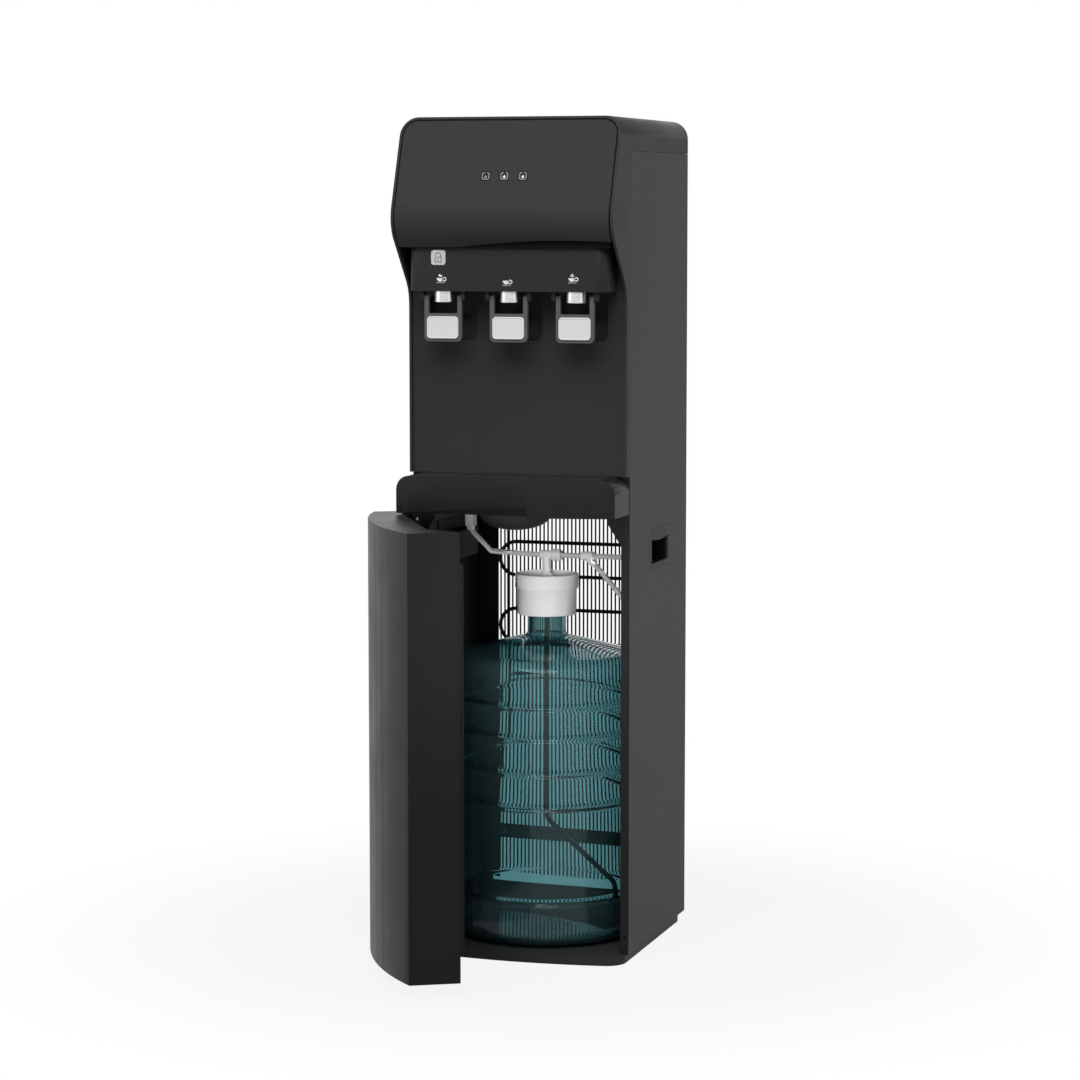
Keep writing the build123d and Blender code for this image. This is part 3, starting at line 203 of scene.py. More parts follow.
# Extruded silicone: milky, a little of what stands behind it glows through, with a faint bloom on the skin
def silicone(name, dark, light):
    made, tree, shader = begin(name, IOR=1.2, Transmission_Weight=0.15)
    place = add(tree, "ShaderNodeTexCoord").outputs["Object"]
    bloom = add(tree, "ShaderNodeTexNoise", {"Vector": place, "Scale": 1 / (12 * mm), "Detail": 3.0})
    tint = add(
        tree,
        "ShaderNodeMix",
        {0: bloom.outputs["Fac"], 6: linear(dark), 7: linear(light)},
        data_type="RGBA",
    )
    gloss = add(tree, "ShaderNodeMapRange", {"Value": bloom.outputs["Fac"], "To Min": 0.28, "To Max": 0.48})
    tree.links.new(tint.outputs[2], shader.inputs["Base Color"])
    tree.links.new(gloss.outputs["Result"], shader.inputs["Roughness"])
    return made


# Natural polypropylene, thin-walled: cloudy, so what stands behind it shows through blurred
def natural_polypropylene(name, dark, light):
    made, tree, shader = begin(name, IOR=1.15, Transmission_Weight=0.08)
    place = add(tree, "ShaderNodeTexCoord").outputs["Object"]
    cloud = add(tree, "ShaderNodeTexNoise", {"Vector": place, "Scale": 1 / (8 * mm), "Detail": 2.0})
    tint = add(
        tree,
        "ShaderNodeMix",
        {0: cloud.outputs["Fac"], 6: linear(dark), 7: linear(light)},
        data_type="RGBA",
    )
    gloss = add(tree, "ShaderNodeMapRange", {"Value": cloud.outputs["Fac"], "To Min": 0.1, "To Max": 0.25})
    tree.links.new(tint.outputs[2], shader.inputs["Base Color"])
    tree.links.new(gloss.outputs["Result"], shader.inputs["Roughness"])
    return made


# Hot-dip galvanised sheet: large frosted zinc crystals, each catching the light its own way
def galvanised(name, dark, light):
    made, tree, shader = begin(name, Metallic=1.0)
    place = add(tree, "ShaderNodeTexCoord").outputs["Object"]
    spangle = add(tree, "ShaderNodeTexVoronoi", {"Vector": place, "Scale": 1 / (9 * mm)})
    tint = add(
        tree,
        "ShaderNodeMix",
        {0: spangle.outputs["Color"], 6: linear(dark), 7: linear(light)},
        data_type="RGBA",
    )
    gloss = add(
        tree,
        "ShaderNodeMapRange",
        {"Value": spangle.outputs["Color"], "To Min": 0.35, "To Max": 0.6},
    )
    tree.links.new(tint.outputs[2], shader.inputs["Base Color"])
    tree.links.new(gloss.outputs["Result"], shader.inputs["Roughness"])
    return made


finishes = {
    "charcoal_moulding": moulded_plastic("charcoal_abs", "#353537", "#393939", 0.5, shine=0.05),
    "charcoal_steel": powder_coat("charcoal_powder_coat", "#3b3b3d", "#3f3f40", 0.5),
    "dark_moulding": moulded_plastic("dark_abs", "#2d2d2e", "#313132", 0.46),
    "dark_gloss": moulded_plastic("satin_abs", "#1d1d1e", "#202021", 0.4, depth=0.03),
    "rubber_black": moulded_plastic("black_rubber", "#101010", "#181818", 0.75, grain=0.6),
    "clear_lens": moulded_plastic("smoked_acrylic", "#19191a", "#1c1c1d", 0.4, depth=0.01, shine=0.04),
    "board_green": moulded_plastic("solder_mask", "#14502a", "#1a6a36", 0.35),
    "spout_steel": brushed_steel("turned_stainless", "#b5b3b0", "#ecebe8", 0.34, (0.06, 0.06, 1)),
    "button_grey": moulded_plastic("grey_abs", "#c6c6c5", "#cfcfce", 0.42, shine=0.3),
    "white_plastic": moulded_plastic("white_polypropylene", "#e2e2e0", "#eaeae8", 0.4, shine=0.4),
    "paddle_grey": moulded_plastic("paddle_abs", "#5a5a5c", "#606062", 0.4),
    "bright_steel": brushed_steel("drawn_stainless", "#8a8a8a", "#c9c9c7", 0.3, (1, 1, 0.02)),
    "bottle_tint": tinted_polycarbonate("tinted_polycarbonate", "#3d747c", "#95bdc1"),
    "hose_clear": silicone("translucent_silicone", "#bfc0bf", "#d2d3d2"),
    "bare_zinc": galvanised("galvanised_sheet", "#7d8184", "#b4b8ba"),
    "foam_cream": moulded_plastic("polyurethane_foam", "#d8c896", "#e6daae", 0.85, grain=3.0, depth=0.6),
    "black_enamel": powder_coat("black_enamel", "#0b0b0c", "#121213", 0.3),
    "switch_green": moulded_plastic("green_acrylic", "#0f6b2a", "#148236", 0.2),
    "switch_red": moulded_plastic("red_acrylic", "#a01410", "#b81c16", 0.2),
}
pad_finish = moulded_plastic("pad_abs", "#dededd", "#e3e3e2", 0.4, shine=0.3)
probe_finish = silicone("smoked_silicone", "#2c3436", "#384244")
cap_skirt_finish = natural_polypropylene("natural_polypropylene", "#f4f5f4", "#fbfbfa")
sign_ink = moulded_plastic("white_pad_print", "#e4e4e3", "#efefee", 0.5, depth=0.01)
lock_ink = moulded_plastic("grey_pad_print", "#8b8b8c", "#949495", 0.5, depth=0.01)
jamb_shade_panel_finish = powder_coat("panel_coat_painted_jamb_shade", "#3b3b3d", "#3f3f40", 0.5)
cup_shade_grip_finish = moulded_plastic("grip_abs_painted_cup_shade", "#353537", "#393939", 0.5, shine=0.05)
rim_shade_cover_finish = moulded_plastic("cover_abs_painted_rim_shade", "#353537", "#393939", 0.5, shine=0.05)


# Painted shade: folds, cups and rims look darker than the faces around them because little light reaches
# them, so a darker shade is painted into the finish there. The painted shade sets in between near and far
# past a corner, counted on the axes in sides
def paint_shade_past(made, mirrored, sides, corner, near, far, shade):
    tree = made.node_tree
    shader = tree.nodes["Principled BSDF"]
    spot = add(tree, "ShaderNodeTexCoord").outputs["Object"]
    if mirrored:
        spot = add(tree, "ShaderNodeVectorMath", {0: spot}, operation="ABSOLUTE").outputs["Vector"]
    start = [-c * mm for c in corner]
    offset = add(tree, "ShaderNodeVectorMath", {0: spot, 1: sides, 2: start}, operation="MULTIPLY_ADD")
    beyond = add(
        tree,
        "ShaderNodeVectorMath",
        {0: offset.outputs["Vector"], 1: (0, 0, 0)},
        operation="MAXIMUM",
    )
    reach = add(tree, "ShaderNodeVectorMath", {0: beyond.outputs["Vector"]}, operation="LENGTH")
    share = add(
        tree,
        "ShaderNodeMapRange",
        {"Value": reach.outputs["Value"], "From Min": near * mm, "From Max": far * mm},
    )
    plain = shader.inputs["Base Color"].links[0].from_socket
    tint = add(
        tree,
        "ShaderNodeMix",
        {0: share.outputs["Result"], 6: plain, 7: linear(shade)},
        data_type="RGBA",
    )
    tree.links.new(tint.outputs[2], shader.inputs["Base Color"])


panel_fold = (0, 140, 0)
grip_mouth = (-160, 0, 0)
cover_corner = (130, 0, 1122)
# Painted shade on the side panels' jamb flange, which faces the front and lies in shadow
paint_shade_past(jamb_shade_panel_finish, False, (0, -1, 0), panel_fold, 6.2, 6.8, "#29292a")
# Painted shade inside the hand-grip cups, where little light gets in
paint_shade_past(cup_shade_grip_finish, True, (-1, 0, 0), grip_mouth, 6, 10, "#0b0b0c")
# Painted shade along the front cover's rim, standing in for the shadow in the gap between cover and hood
paint_shade_past(rim_shade_cover_finish, True, (1, 0, 1), cover_corner, 19.2, 19.7, "#070708")
own_finish = {
    "right_side_panel": jamb_shade_panel_finish,
    "left_side_panel": jamb_shade_panel_finish,
    "front_cover": rim_shade_cover_finish,
    "right_hand_grip": cup_shade_grip_finish,
    "left_hand_grip": cup_shade_grip_finish,
}
for row in frame["record"]["subparts"]:
    coats = nodes[row["node"]].data.materials
    coats.clear()
    coats.append(own_finish.get(row["node"], finishes[row["material_slot"]]))


# Moulded and folded edges are never knife-sharp: a small radius catches the light along every corner
def ease(names, width):
    for name in names:
        weld = nodes[name].modifiers.new("weld", "WELD")
        weld.merge_threshold = 0.002 * mm
        radius = nodes[name].modifiers.new("edge_radius", "BEVEL")
        radius.width = width * mm
        radius.segments = 2
        radius.limit_method = "ANGLE"
        radius.angle_limit = radians(40)
        radius.harden_normals = True


ease(["upper_hood", "front_cover", "tray_housing", "door_shell", "base_pan", "tap_housing"], 1.0)
ease(["cold_paddle", "room_paddle", "hot_paddle", "splash_panel", "drip_grate"], 0.7)
ease(["right_hand_grip", "left_hand_grip", "switch_bezels", "cooling_switch", "heating_switch"], 0.5)
ease(["right_side_panel", "left_side_panel", "rear_panel", "rear_brace", "condenser_rails"], 0.3)


def stand(origin, normal, up=(0, 0, 1)):
    """The place of a flat drawing: its face looks along normal, its top points along up."""
    out = Vector(normal).normalized()
    top = (Vector(up) - out * out.dot(Vector(up))).normalized()
    place = Matrix((top.cross(out), top, out)).transposed().to_4x4()
    place.translation = Vector(origin)
    return place


def settle(work, name, body, slot, stands_for=(), finish=None, crease=35):
    """Makes a piece of a bmesh: it rides a body and is shown in place of the nodes that it stands for."""
    bmesh.ops.remove_doubles(work, verts=work.verts, dist=0.001 * mm)
    bmesh.ops.recalc_face_normals(work, faces=work.faces)
    mesh = bpy.data.meshes.new(name)
    work.to_mesh(mesh)
    work.free()
    mesh.shade_smooth()
    mesh.set_sharp_from_angle(angle=radians(crease))
    mesh.materials.append(finish or finishes[slot])
    piece = bpy.data.objects.new(name, mesh)
    bpy.context.scene.collection.objects.link(piece)
    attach(piece, body)
    if stands_for:
        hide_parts(*stands_for)


def turn(work, points, place, steps=64):
    """Turns a profile of (radius, height) points about the third axis of place."""
    known = set(work.verts)
    ring = [work.verts.new((r, 0, z)) for r, z in points]
    edges = [work.edges.new(pair) for pair in zip(ring, ring[1:])]
    bmesh.ops.spin(
        work, geom=ring + edges, cent=(0, 0, 0), axis=(0, 0, 1), angle=2 * pi, steps=steps, use_merge=True
    )
    bmesh.ops.transform(work, matrix=place, verts=[v for v in work.verts if v not in known])


def arc(centre, radius, start, end, steps):
    """Points on an arc from start to end, in degrees."""
    angles = [radians(start + (end - start) * i / steps) for i in range(steps + 1)]
    return [(centre[0] + radius * cos(a), centre[1] + radius * sin(a)) for a in angles]


def open_sheet(work, old, border):
    """Leaves only a border of the flat sheet whose faces aren't in old."""
    sheet = [f for f in work.faces if f not in old]
    bmesh.ops.inset_region(work, faces=sheet, thickness=border, use_boundary=True, use_even_offset=True)
    bmesh.ops.delete(work, geom=sheet, context="FACES")


def thicken_sheet(work, old, thick):
    """Thickens the flat sheet whose faces aren't in old, and gives its front faces."""
    sheet = [f for f in work.faces if f not in old]
    lifted = bmesh.ops.extrude_face_region(work, geom=sheet, use_keep_orig=True)["geom"]
    front = [g for g in lifted if isinstance(g, bmesh.types.BMFace)]
    corners = [g for g in lifted if isinstance(g, bmesh.types.BMVert)]
    bmesh.ops.translate(work, vec=(0, 0, thick), verts=corners)
    return front


def rounded_block(work, width, height, thick, corner, edge, place, hollow=0.0):
    """A block with round corners and a soft front edge; hollow leaves only a frame of that width."""
    known = set(work.verts)
    old = set(work.faces)
    start = bmesh.ops.create_grid(work, x_segments=1, y_segments=1, size=0.5)
    bmesh.ops.scale(work, vec=(width, height, 1), verts=start["verts"])
    bmesh.ops.bevel(
        work,
        geom=start["verts"],
        offset=corner,
        segments=6,
        profile=0.5,
        affect="VERTICES",
        material=-1,
    )
    if hollow:
        open_sheet(work, old, hollow)
    top = thicken_sheet(work, old, thick)
    if edge:
        rim = [e for e in {e for f in top for e in f.edges} if sum(f in top for f in e.link_faces) == 1]
        bmesh.ops.bevel(
            work, geom=rim, offset=edge, segments=3, profile=0.5, affect="EDGES", material=-1
        )
    bmesh.ops.transform(work, matrix=place, verts=[v for v in work.verts if v not in known])


def disc(work, radius, thick, place, across=1.0, hollow=0.0, keep=0):
    """A printed dot or, with hollow, a ring; keep of 1 or -1 leaves only its upper or lower half."""
    known = set(work.verts)
    old = set(work.faces)
    bmesh.ops.create_circle(work, cap_ends=True, segments=32, radius=radius)
    if hollow:
        open_sheet(work, old, hollow)
    if keep:
        fresh = [v for v in work.verts if v not in known]
        geometry = fresh + list({e for v in fresh for e in v.link_edges})
        geometry += [f for f in work.faces if f not in old]
        bmesh.ops.bisect_plane(
            work, geom=geometry, dist=0.0001 * mm, plane_co=(0, 0, 0), plane_no=(0, keep, 0), clear_inner=True
        )
    thicken_sheet(work, old, thick)
    fresh = [v for v in work.verts if v not in known]
    bmesh.ops.scale(work, vec=(across, 1, 1), verts=fresh)
    bmesh.ops.transform(work, matrix=place, verts=fresh)


def shifted(place, x, y):
    return place @ Matrix.Translation((x * mm, y * mm, 0))


def sized(points):
    return [(r * mm, z * mm) for r, z in points]


# Bottle: one thin wall turned from its profile, with rolled grooves, a domed shoulder and a rounded foot
bottle_low, bottle_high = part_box("water_bottle")
bottle_centre = (bottle_low + bottle_high) / 2
bottle_axis = Matrix.Translation((bottle_centre.x, bottle_centre.y, 0))
bottle_radius = (bottle_high.x - bottle_low.x) / 2
bottle_wall = 5.4 * mm
groove_levels = [z * mm for z in (73, 206, 253, 302, 345)]
groove_reach = 7.5 * mm
groove_depth = 4.2 * mm
groove_steps = 12
foot_radius = 16 * mm
shoulder_radius = 26 * mm
shoulder_level = 383 * mm
neck_radius = 27 * mm
neck_fillet = 7 * mm
neck_level = 436 * mm


def bottle_outline(wall):
    low = bottle_low.z + wall
    radius = bottle_radius - wall
    line = [(0, low)] + arc((radius - foot_radius, low + foot_radius), foot_radius, -90, 0, 8)
    for z in () if wall else groove_levels:
        for i in range(groove_steps + 1):
            swing = -pi + 2 * pi * i / groove_steps
            line.append((radius - groove_depth * (1 + cos(swing)) / 2, z + groove_reach * swing / pi))
    line += arc((radius - shoulder_radius, shoulder_level), shoulder_radius, 0, 75, 10)
    line += arc((neck_radius - wall + neck_fillet, neck_level - wall / 3), neck_fillet, 255, 180, 8)
    line.append((neck_radius - wall, bottle_high.z))
    return line


work = bmesh.new()
turn(work, bottle_outline(0) + bottle_outline(bottle_wall)[::-1], bottle_axis, steps=128)
settle(work, "bottle_wall", "cabinet", "bottle_tint", ["water_bottle"], crease=60)

# Probe cap: a solid cup over the neck inside a thin cloudy skirt that stands above it
cap_low, cap_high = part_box("probe_cap")
cap_bore = neck_radius + 0.3 * mm
cap_ceiling = 470 * mm
cap_radius = 41 * mm
cap_edge = 1.4 * mm
cup_radius = 43 * mm
cup_top = cap_high.z - 8 * mm
probe_bore = 4 * mm
skirt_step = 496 * mm
skirt_inside = 43.1 * mm
skirt_radius = 44.5 * mm
skirt_edge = 0.4 * mm
work = bmesh.new()
turn(
    work,
    [(cap_bore, cap_ceiling), (cap_bore, cap_low.z), (cap_radius - cap_edge, cap_low.z)]
    + arc((cap_radius - cap_edge, cap_low.z + cap_edge), cap_edge, -90, 0, 4)
    + [(cap_radius, skirt_step - 0.6 * mm), (cap_radius - 0.8 * mm, skirt_step)]
    + [(cup_radius, skirt_step + 0.5 * mm), (cup_radius, cup_top), (9 * mm, cup_top), (8 * mm, cap_high.z)]
    + [(probe_bore, cap_high.z), (probe_bore, cap_ceiling), (cap_bore, cap_ceiling)],
    bottle_axis,
    steps=96,
)
settle(work, "cap_cup", "cabinet", "white_plastic", ["probe_cap"])
work = bmesh.new()
turn(
    work,
    [(skirt_inside, cap_high.z), (skirt_inside, skirt_step), (skirt_radius - skirt_edge, skirt_step)]
    + [(skirt_radius, skirt_step + 0.5 * mm), (skirt_radius, cap_high.z - 0.6 * mm)]
    + [(skirt_radius - skirt_edge, cap_high.z), (skirt_inside, cap_high.z)],
    bottle_axis,
    steps=96,
)
settle(work, "cap_skirt", "cabinet", "white_plastic", finish=cap_skirt_finish)

# Probe tee: an upright stub under a level barrel with a wide socket on the right
tee_level = 542 * mm
tee_middle = (bottle_centre.x, bottle_centre.y, tee_level)
tee_stub = [(0, 516.1), (7.4, 516.1), (7.4, 519), (6.3, 520), (6.3, 542), (4, 546.6), (0, 548)]
tee_barrel = [(0, -9), (5.4, -9), (6.3, -8), (6.3, 7), (7.4, 8), (8, 9), (8, 20.6), (7, 22), (0, 22)]
work = bmesh.new()
turn(work, sized(tee_stub), bottle_axis, steps=40)
turn(work, sized(tee_barrel), stand(tee_middle, to_right), steps=40)
settle(work, "tee_body", "cabinet", "white_plastic", ["probe_tee"])


# Hoses: soft tubes drawn along one smooth line from fitting to fitting
def hose(name, node, points, radius, finish=None):
    line = bpy.data.curves.new(name, "CURVE")
    line.dimensions = "3D"
    run = line.splines.new("NURBS")
    run.points.add(len(points) - 1)
    for spot, point in zip(run.points, points):
        spot.co = (point[0] * mm, point[1] * mm, point[2] * mm, 1)
    run.order_u = 3
    run.use_endpoint_u = True
    line.resolution_u = 16
    line.bevel_depth = radius * mm
    line.bevel_resolution = 5
    line.use_fill_caps = True
    drawn = bpy.data.objects.new(name, line)
    work = bmesh.new()
    work.from_mesh(bpy.data.meshes.new_from_object(drawn))
    bpy.data.objects.remove(drawn)
    settle(work, name, "cabinet", "hose_clear", [node], finish)


bottle_y = bottle_centre.y / mm
hose_radius = 3.6
suction_radius = 3.5
hose(
    "feed_tube",
    "feed_hose",
    [(-4, bottle_y, 542), (-20, bottle_y, 542), (-48, -36.5, 544.5), (-70, -45, 546.6), (-76, -47, 547)]
    + [(-80, -49.6, 553), (-94, -59, 570), (-100, -63, 578.5), (-100, -63, 589.5)],
    hose_radius,
)
hose(
    "vent_tube",
    "vent_hose",
    [(17, bottle_y, 542), (60, bottle_y, 542), (104, bottle_y, 542), (119, bottle_y, 542)]
    + [(121, bottle_y, 546), (121, bottle_y, 560), (121, bottle_y, 589.5)],
    hose_radius,
)
hose(
    "drain_tube",
    "drain_hose",
    [(66.2, bottle_y, 535.3), (90, bottle_y, 508.5), (126, bottle_y, 468), (133, bottle_y, 459)]
    + [(134, bottle_y, 452), (134, bottle_y, 430)],
    hose_radius,
)
hose(
    "suction_pipe",
    "suction_tube",
    [(0, bottle_y, 515), (0, bottle_y, 300), (0, bottle_y, 182), (0, bottle_y, 165), (14, bottle_y, 153.5)]
    + [(50, bottle_y, 124), (88, bottle_y, 92.8), (100, bottle_y, 83), (100, bottle_y, 66)]
    + [(100, bottle_y, 40), (100, bottle_y, 17.5)],
    suction_radius,
    probe_finish,
)

# Sleeve that joins the two right-hand hoses, and the blocks that hold the hoses' far ends
branch = (60 * mm, bottle_centre.y, tee_level)
branch_slope = Vector((74, 0, -84)).normalized()
sleeve = [(4, -9), (5.6, -9), (6.5, -8), (6.5, 8), (5.6, 9), (4, 9), (4, -9)]
spur = [(0, 0), (6.2, 0), (6.2, 13.5), (5.2, 15), (4, 15), (4, 9), (0, 9)]
work = bmesh.new()
turn(work, sized(sleeve), stand(branch, to_right), steps=36)
turn(work, sized(spur), stand(branch, branch_slope, to_back), steps=36)
settle(work, "hose_sleeve", "cabinet", "white_plastic", ["hose_branch"])
block_level = 583.5
block_side = 14 * mm
block_height = 34.4 * mm
block_corner = 3 * mm
ferrule = [(3.8, 578), (5, 578), (5.6, 579), (5.6, block_level), (3.8, block_level), (3.8, 578)]
drain_side = 18 * mm
drain_length = 27.9 * mm
drain_end = stand((126 * mm, bottle_centre.y, 433 * mm), to_right)
work = bmesh.new()
for x, y in ((-100, -63), (121, bottle_y)):
    foot = Matrix.Translation((x * mm, y * mm, block_level * mm))
    rounded_block(work, block_side, block_side, block_height, block_corner, 0, foot)
    turn(work, sized(ferrule), Matrix.Translation((x * mm, y * mm, 0)), steps=32)
rounded_block(work, drain_side, drain_side, drain_length, block_corner, 0, drain_end)
settle(work, "hose_blocks", "cabinet", "button_grey", ["hose_fittings"])

# Sump: round bowl with a rolled rim under the tray
sump_low, sump_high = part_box("drip_sump")
sump_centre = (sump_low + sump_high) / 2
sump_bowl = [(50 * sin(radians(a)), -4 - 23 * cos(radians(a))) for a in range(0, 91, 6)]
sump_rim = [(50.5, -3.6), (50.5, 0), (46.5, 0)]
sump_inside = [(46.5 * sin(radians(a)), -4 - 20.5 * cos(radians(a))) for a in range(90, -1, -6)]
sump_top = Matrix.Translation((sump_centre.x, sump_centre.y, sump_high.z))
work = bmesh.new()
turn(work, sized(sump_bowl + sump_rim + sump_inside), sump_top, steps=96)
settle(work, "sump_bowl", "cabinet", "charcoal_moulding", ["drip_sump"])

# Spouts: turned steel nozzles with a rolled lip and a deep bore
spout_bore = 7 * mm
spout_radius = 13.5 * mm
spout_collar = 13.1 * mm
lip_radius = 0.8 * mm
for name, centre in (("cold", -93), ("room", 0), ("hot", 93)):
    low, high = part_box(f"{name}_spout")
    lip = arc((spout_radius - lip_radius, low.z + lip_radius), lip_radius, -90, 0, 4)
    work = bmesh.new()
    turn(
        work,
        [(spout_bore, high.z), (spout_bore, low.z + lip_radius), (spout_bore + lip_radius, low.z)]
        + lip
        + [(spout_radius, high.z - 6.2 * mm), (spout_collar, high.z - 5.8 * mm), (spout_collar, high.z)]
        + [(spout_bore, high.z)],
        Matrix.Translation((centre * mm, (low.y + high.y) / 2, 0)),
        steps=72,
    )
    settle(work, f"{name}_nozzle", "cabinet", "spout_steel", [f"{name}_spout"])

# Pads: pale grey plates set in a whiter raised border
pad_border = 2.2 * mm
pad_corner = 5 * mm
pad_edge = 0.8 * mm
plate_corner = 3 * mm
plate_sink = 0.5 * mm
for name in ("cold", "room", "hot"):
    low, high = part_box(f"{name}_pad")
    width = high.x - low.x
    height = high.z - low.z
    thick = high.y - low.y
    back = stand(((low.x + high.x) / 2, high.y, (low.z + high.z) / 2), to_front)
    work = bmesh.new()
    rounded_block(work, width, height, thick, pad_corner, pad_edge, back, hollow=pad_border)
    settle(work, f"{name}_border", f"{name}_lever", "white_plastic", [f"{name}_pad"], crease=50)
    work = bmesh.new()
    inner = (width - 2 * pad_border, height - 2 * pad_border, thick - plate_sink)
    rounded_block(work, *inner, plate_corner, 0, back)
    settle(work, f"{name}_plate", f"{name}_lever", "white_plastic", finish=pad_finish)

# Prints: thin ink, a hair off the face that carries it or, on the lock key, a hair into it
ink = 0.06 * mm
thick_ink = 0.08 * mm
print_gap = 0.02 * mm

# Child-lock key with its padlock sign
lock_low, lock_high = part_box("child_lock_button")
lock_middle = (lock_low + lock_high) / 2
key_size = 20.5 * mm
key_rise = 2.5 * mm
stem_size = key_size - 1 * mm
flange_size = 25.5 * mm
key_face = stand((lock_middle.x, lock_low.y + key_rise, lock_middle.z), to_front)
flange = stand((lock_middle.x, lock_high.y, lock_middle.z), to_front)
work = bmesh.new()
rounded_block(work, key_size, key_size, key_rise, 4 * mm, 1.0 * mm, key_face)
rounded_block(work, flange_size, flange_size, 2 * mm, 3 * mm, 0, flange)
rounded_block(work, stem_size, stem_size, 6 * mm, 3 * mm, 0, flange)
settle(work, "lock_cap", "lock_key", "button_grey", ["child_lock_button"], crease=50)
sign = stand((lock_middle.x, lock_low.y + print_gap, lock_middle.z), to_front)
sign_line = 1.6 * mm
work = bmesh.new()
rounded_block(work, 10.6 * mm, 8 * mm, thick_ink, 1.4 * mm, 0, shifted(sign, 0, -2.7), hollow=sign_line)
disc(work, 4.5 * mm, thick_ink, shifted(sign, 0, 2.6), hollow=sign_line, keep=1)
rounded_block(work, sign_line, 2.4 * mm, thick_ink, 0.1 * mm, 0, shifted(sign, 3.7, 1.8))
rounded_block(work, 1.7 * mm, 3.2 * mm, thick_ink, 0.7 * mm, 0, shifted(sign, 0, -2.7))
settle(work, "lock_sign", "lock_key", "button_grey", finish=lock_ink)

# Painted shade: a dark strip set in the gap between the tap bar and the front cover's arched edge, standing
# in for the shadow that fills that gap
bar_low, bar_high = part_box("tap_housing")
shade_strip_width = bar_high.x - bar_low.x + 12 * mm
shade_strip_height = 13.8 * mm
shade_strip_place = stand((0, bar_low.y + 1 * mm, bar_high.z + 7 * mm), to_front)
work = bmesh.new()
rounded_block(work, shade_strip_width, shade_strip_height, 6 * mm, 1 * mm, 0.8 * mm, shade_strip_place)
settle(work, "gap_shade_strip", "cabinet", "rubber_black")

# Cup signs printed on the tap bar: a cup on its saucer, with flakes over the cold one and steam over the
# hot one, each mark a dot with its radius and its place over the cup
flakes = ((1.6, -1.9, 5.2), (1.4, 0.3, 4.2))
steam = ((1.7, -1.6, 4.8), (1.2, 0.3, 4.2), (1.0, -0.6, 6.4))
cups = bmesh.new()
saucers = bmesh.new()
for x, z, marks in ((-92.4, 930, flakes), (1, 927, ()), (93, 931, steam)):
    face = stand((x * mm, bar_low.y - print_gap, z * mm), to_front)
    disc(cups, 4.8 * mm, ink, shifted(face, -1.4, 1.6), keep=-1)
    disc(cups, 2.9 * mm, ink, shifted(face, 4.7, 0), hollow=1.3 * mm)
    for radius, across, up in marks:
        disc(cups, radius * mm, ink, shifted(face, across, up))
    rounded_block(saucers, 12.4 * mm, 1.5 * mm, ink, 0.7 * mm, 0, shifted(face, -0.8, -4.6))
settle(cups, "cup_signs", "cabinet", "white_plastic", finish=sign_ink)
settle(saucers, "saucer_signs", "cabinet", "button_grey", finish=lock_ink)

# Indicator signs on the lenses: a bottle outline with a dark neck and a drop, the first one unlit
lens_normal = Vector((0, -0.9389, 0.3444))
lens_y = -215.16 * mm
lens_z = 1067.5 * mm
outlines = bmesh.new()
drops = bmesh.new()
necks = bmesh.new()
for x in (-26, 0, 26):
    face = stand(Vector((x * mm, lens_y, lens_z)) + lens_normal * print_gap, lens_normal)
    rounded_block(outlines, 10.6 * mm, 10.4 * mm, ink, 2.4 * mm, 0, face, hollow=1.5 * mm)
    rounded_block(necks, 2.4 * mm, 3.6 * mm, thick_ink, 1 * mm, 0, shifted(face, 0, 4))
    drop = outlines if x < 0 else drops
    disc(drop, 1.9 * mm, ink, shifted(face, 0, -1.2))
    disc(drop, 1.1 * mm, ink, shifted(face, 0, 0.6), across=0.6)
settle(outlines, "level_signs", "cabinet", "button_grey", finish=lock_ink)
settle(drops, "level_drops", "cabinet", "white_plastic", finish=sign_ink)
settle(necks, "level_necks", "cabinet", "rubber_black")


# Steel tubes: a ring drawn along straight runs and spun round the bends. A move is a run, or a bend's
# centre, axis, angle and steps
def drawn_tube(work, start, along, radius, moves, sides=12):
    ring = bmesh.ops.create_circle(
        work, segments=sides, radius=radius * mm, matrix=stand([c * mm for c in start], along, (0, 1, 0.01))
    )
    edges = list({e for v in ring["verts"] for e in v.link_edges})
    bmesh.ops.contextual_create(work, geom=edges)
    for move in moves:
        if len(move) == 3:
            made = bmesh.ops.extrude_edge_only(work, edges=edges)["geom"]
            verts = [g for g in made if isinstance(g, bmesh.types.BMVert)]
            bmesh.ops.translate(work, vec=[c * mm for c in move], verts=verts)
        else:
            centre, axis, angle, steps = move
            verts = list({v for e in edges for v in e.verts})
            made = bmesh.ops.spin(
                work,
                geom=verts + edges,
                cent=[c * mm for c in centre],
                axis=axis,
                angle=radians(angle),
                steps=steps,
            )["geom_last"]
            verts = [g for g in made if isinstance(g, bmesh.types.BMVert)]
        edges = [e for e in {e for v in verts for e in v.link_edges} if all(v in verts for v in e.verts)]
    bmesh.ops.contextual_create(work, geom=edges)


# Condenser: one tube laid in passes behind a fence of upright wires
pass_low = 149.5
pass_pitch = 49.0
pass_count = 9
pass_run = 97.5
tube_y = 135.0
tube_radius = 2.7
moves = []
for i in range(pass_count):
    side = 1 if i % 2 == 0 else -1
    moves.append((2 * side * pass_run, 0, 0))
    if i < pass_count - 1:
        centre = (side * pass_run, tube_y, pass_low + (i + 0.5) * pass_pitch)
        moves.append((centre, (0, -side, 0), 180, 14))
work = bmesh.new()
drawn_tube(work, (-pass_run, tube_y, pass_low), to_right, tube_radius, moves)
settle(work, "condenser_coil", "cabinet", "black_enamel", ["condenser_tube"])
wires_low, wires_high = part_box("condenser_wires")
wire_count = 41
wire_pitch = 6 * mm
wire_y = (wires_low.y + wires_high.y) / 2
wire_radius = 1.3 * mm
tip_radius = 1.0 * mm
tip_length = 0.4 * mm
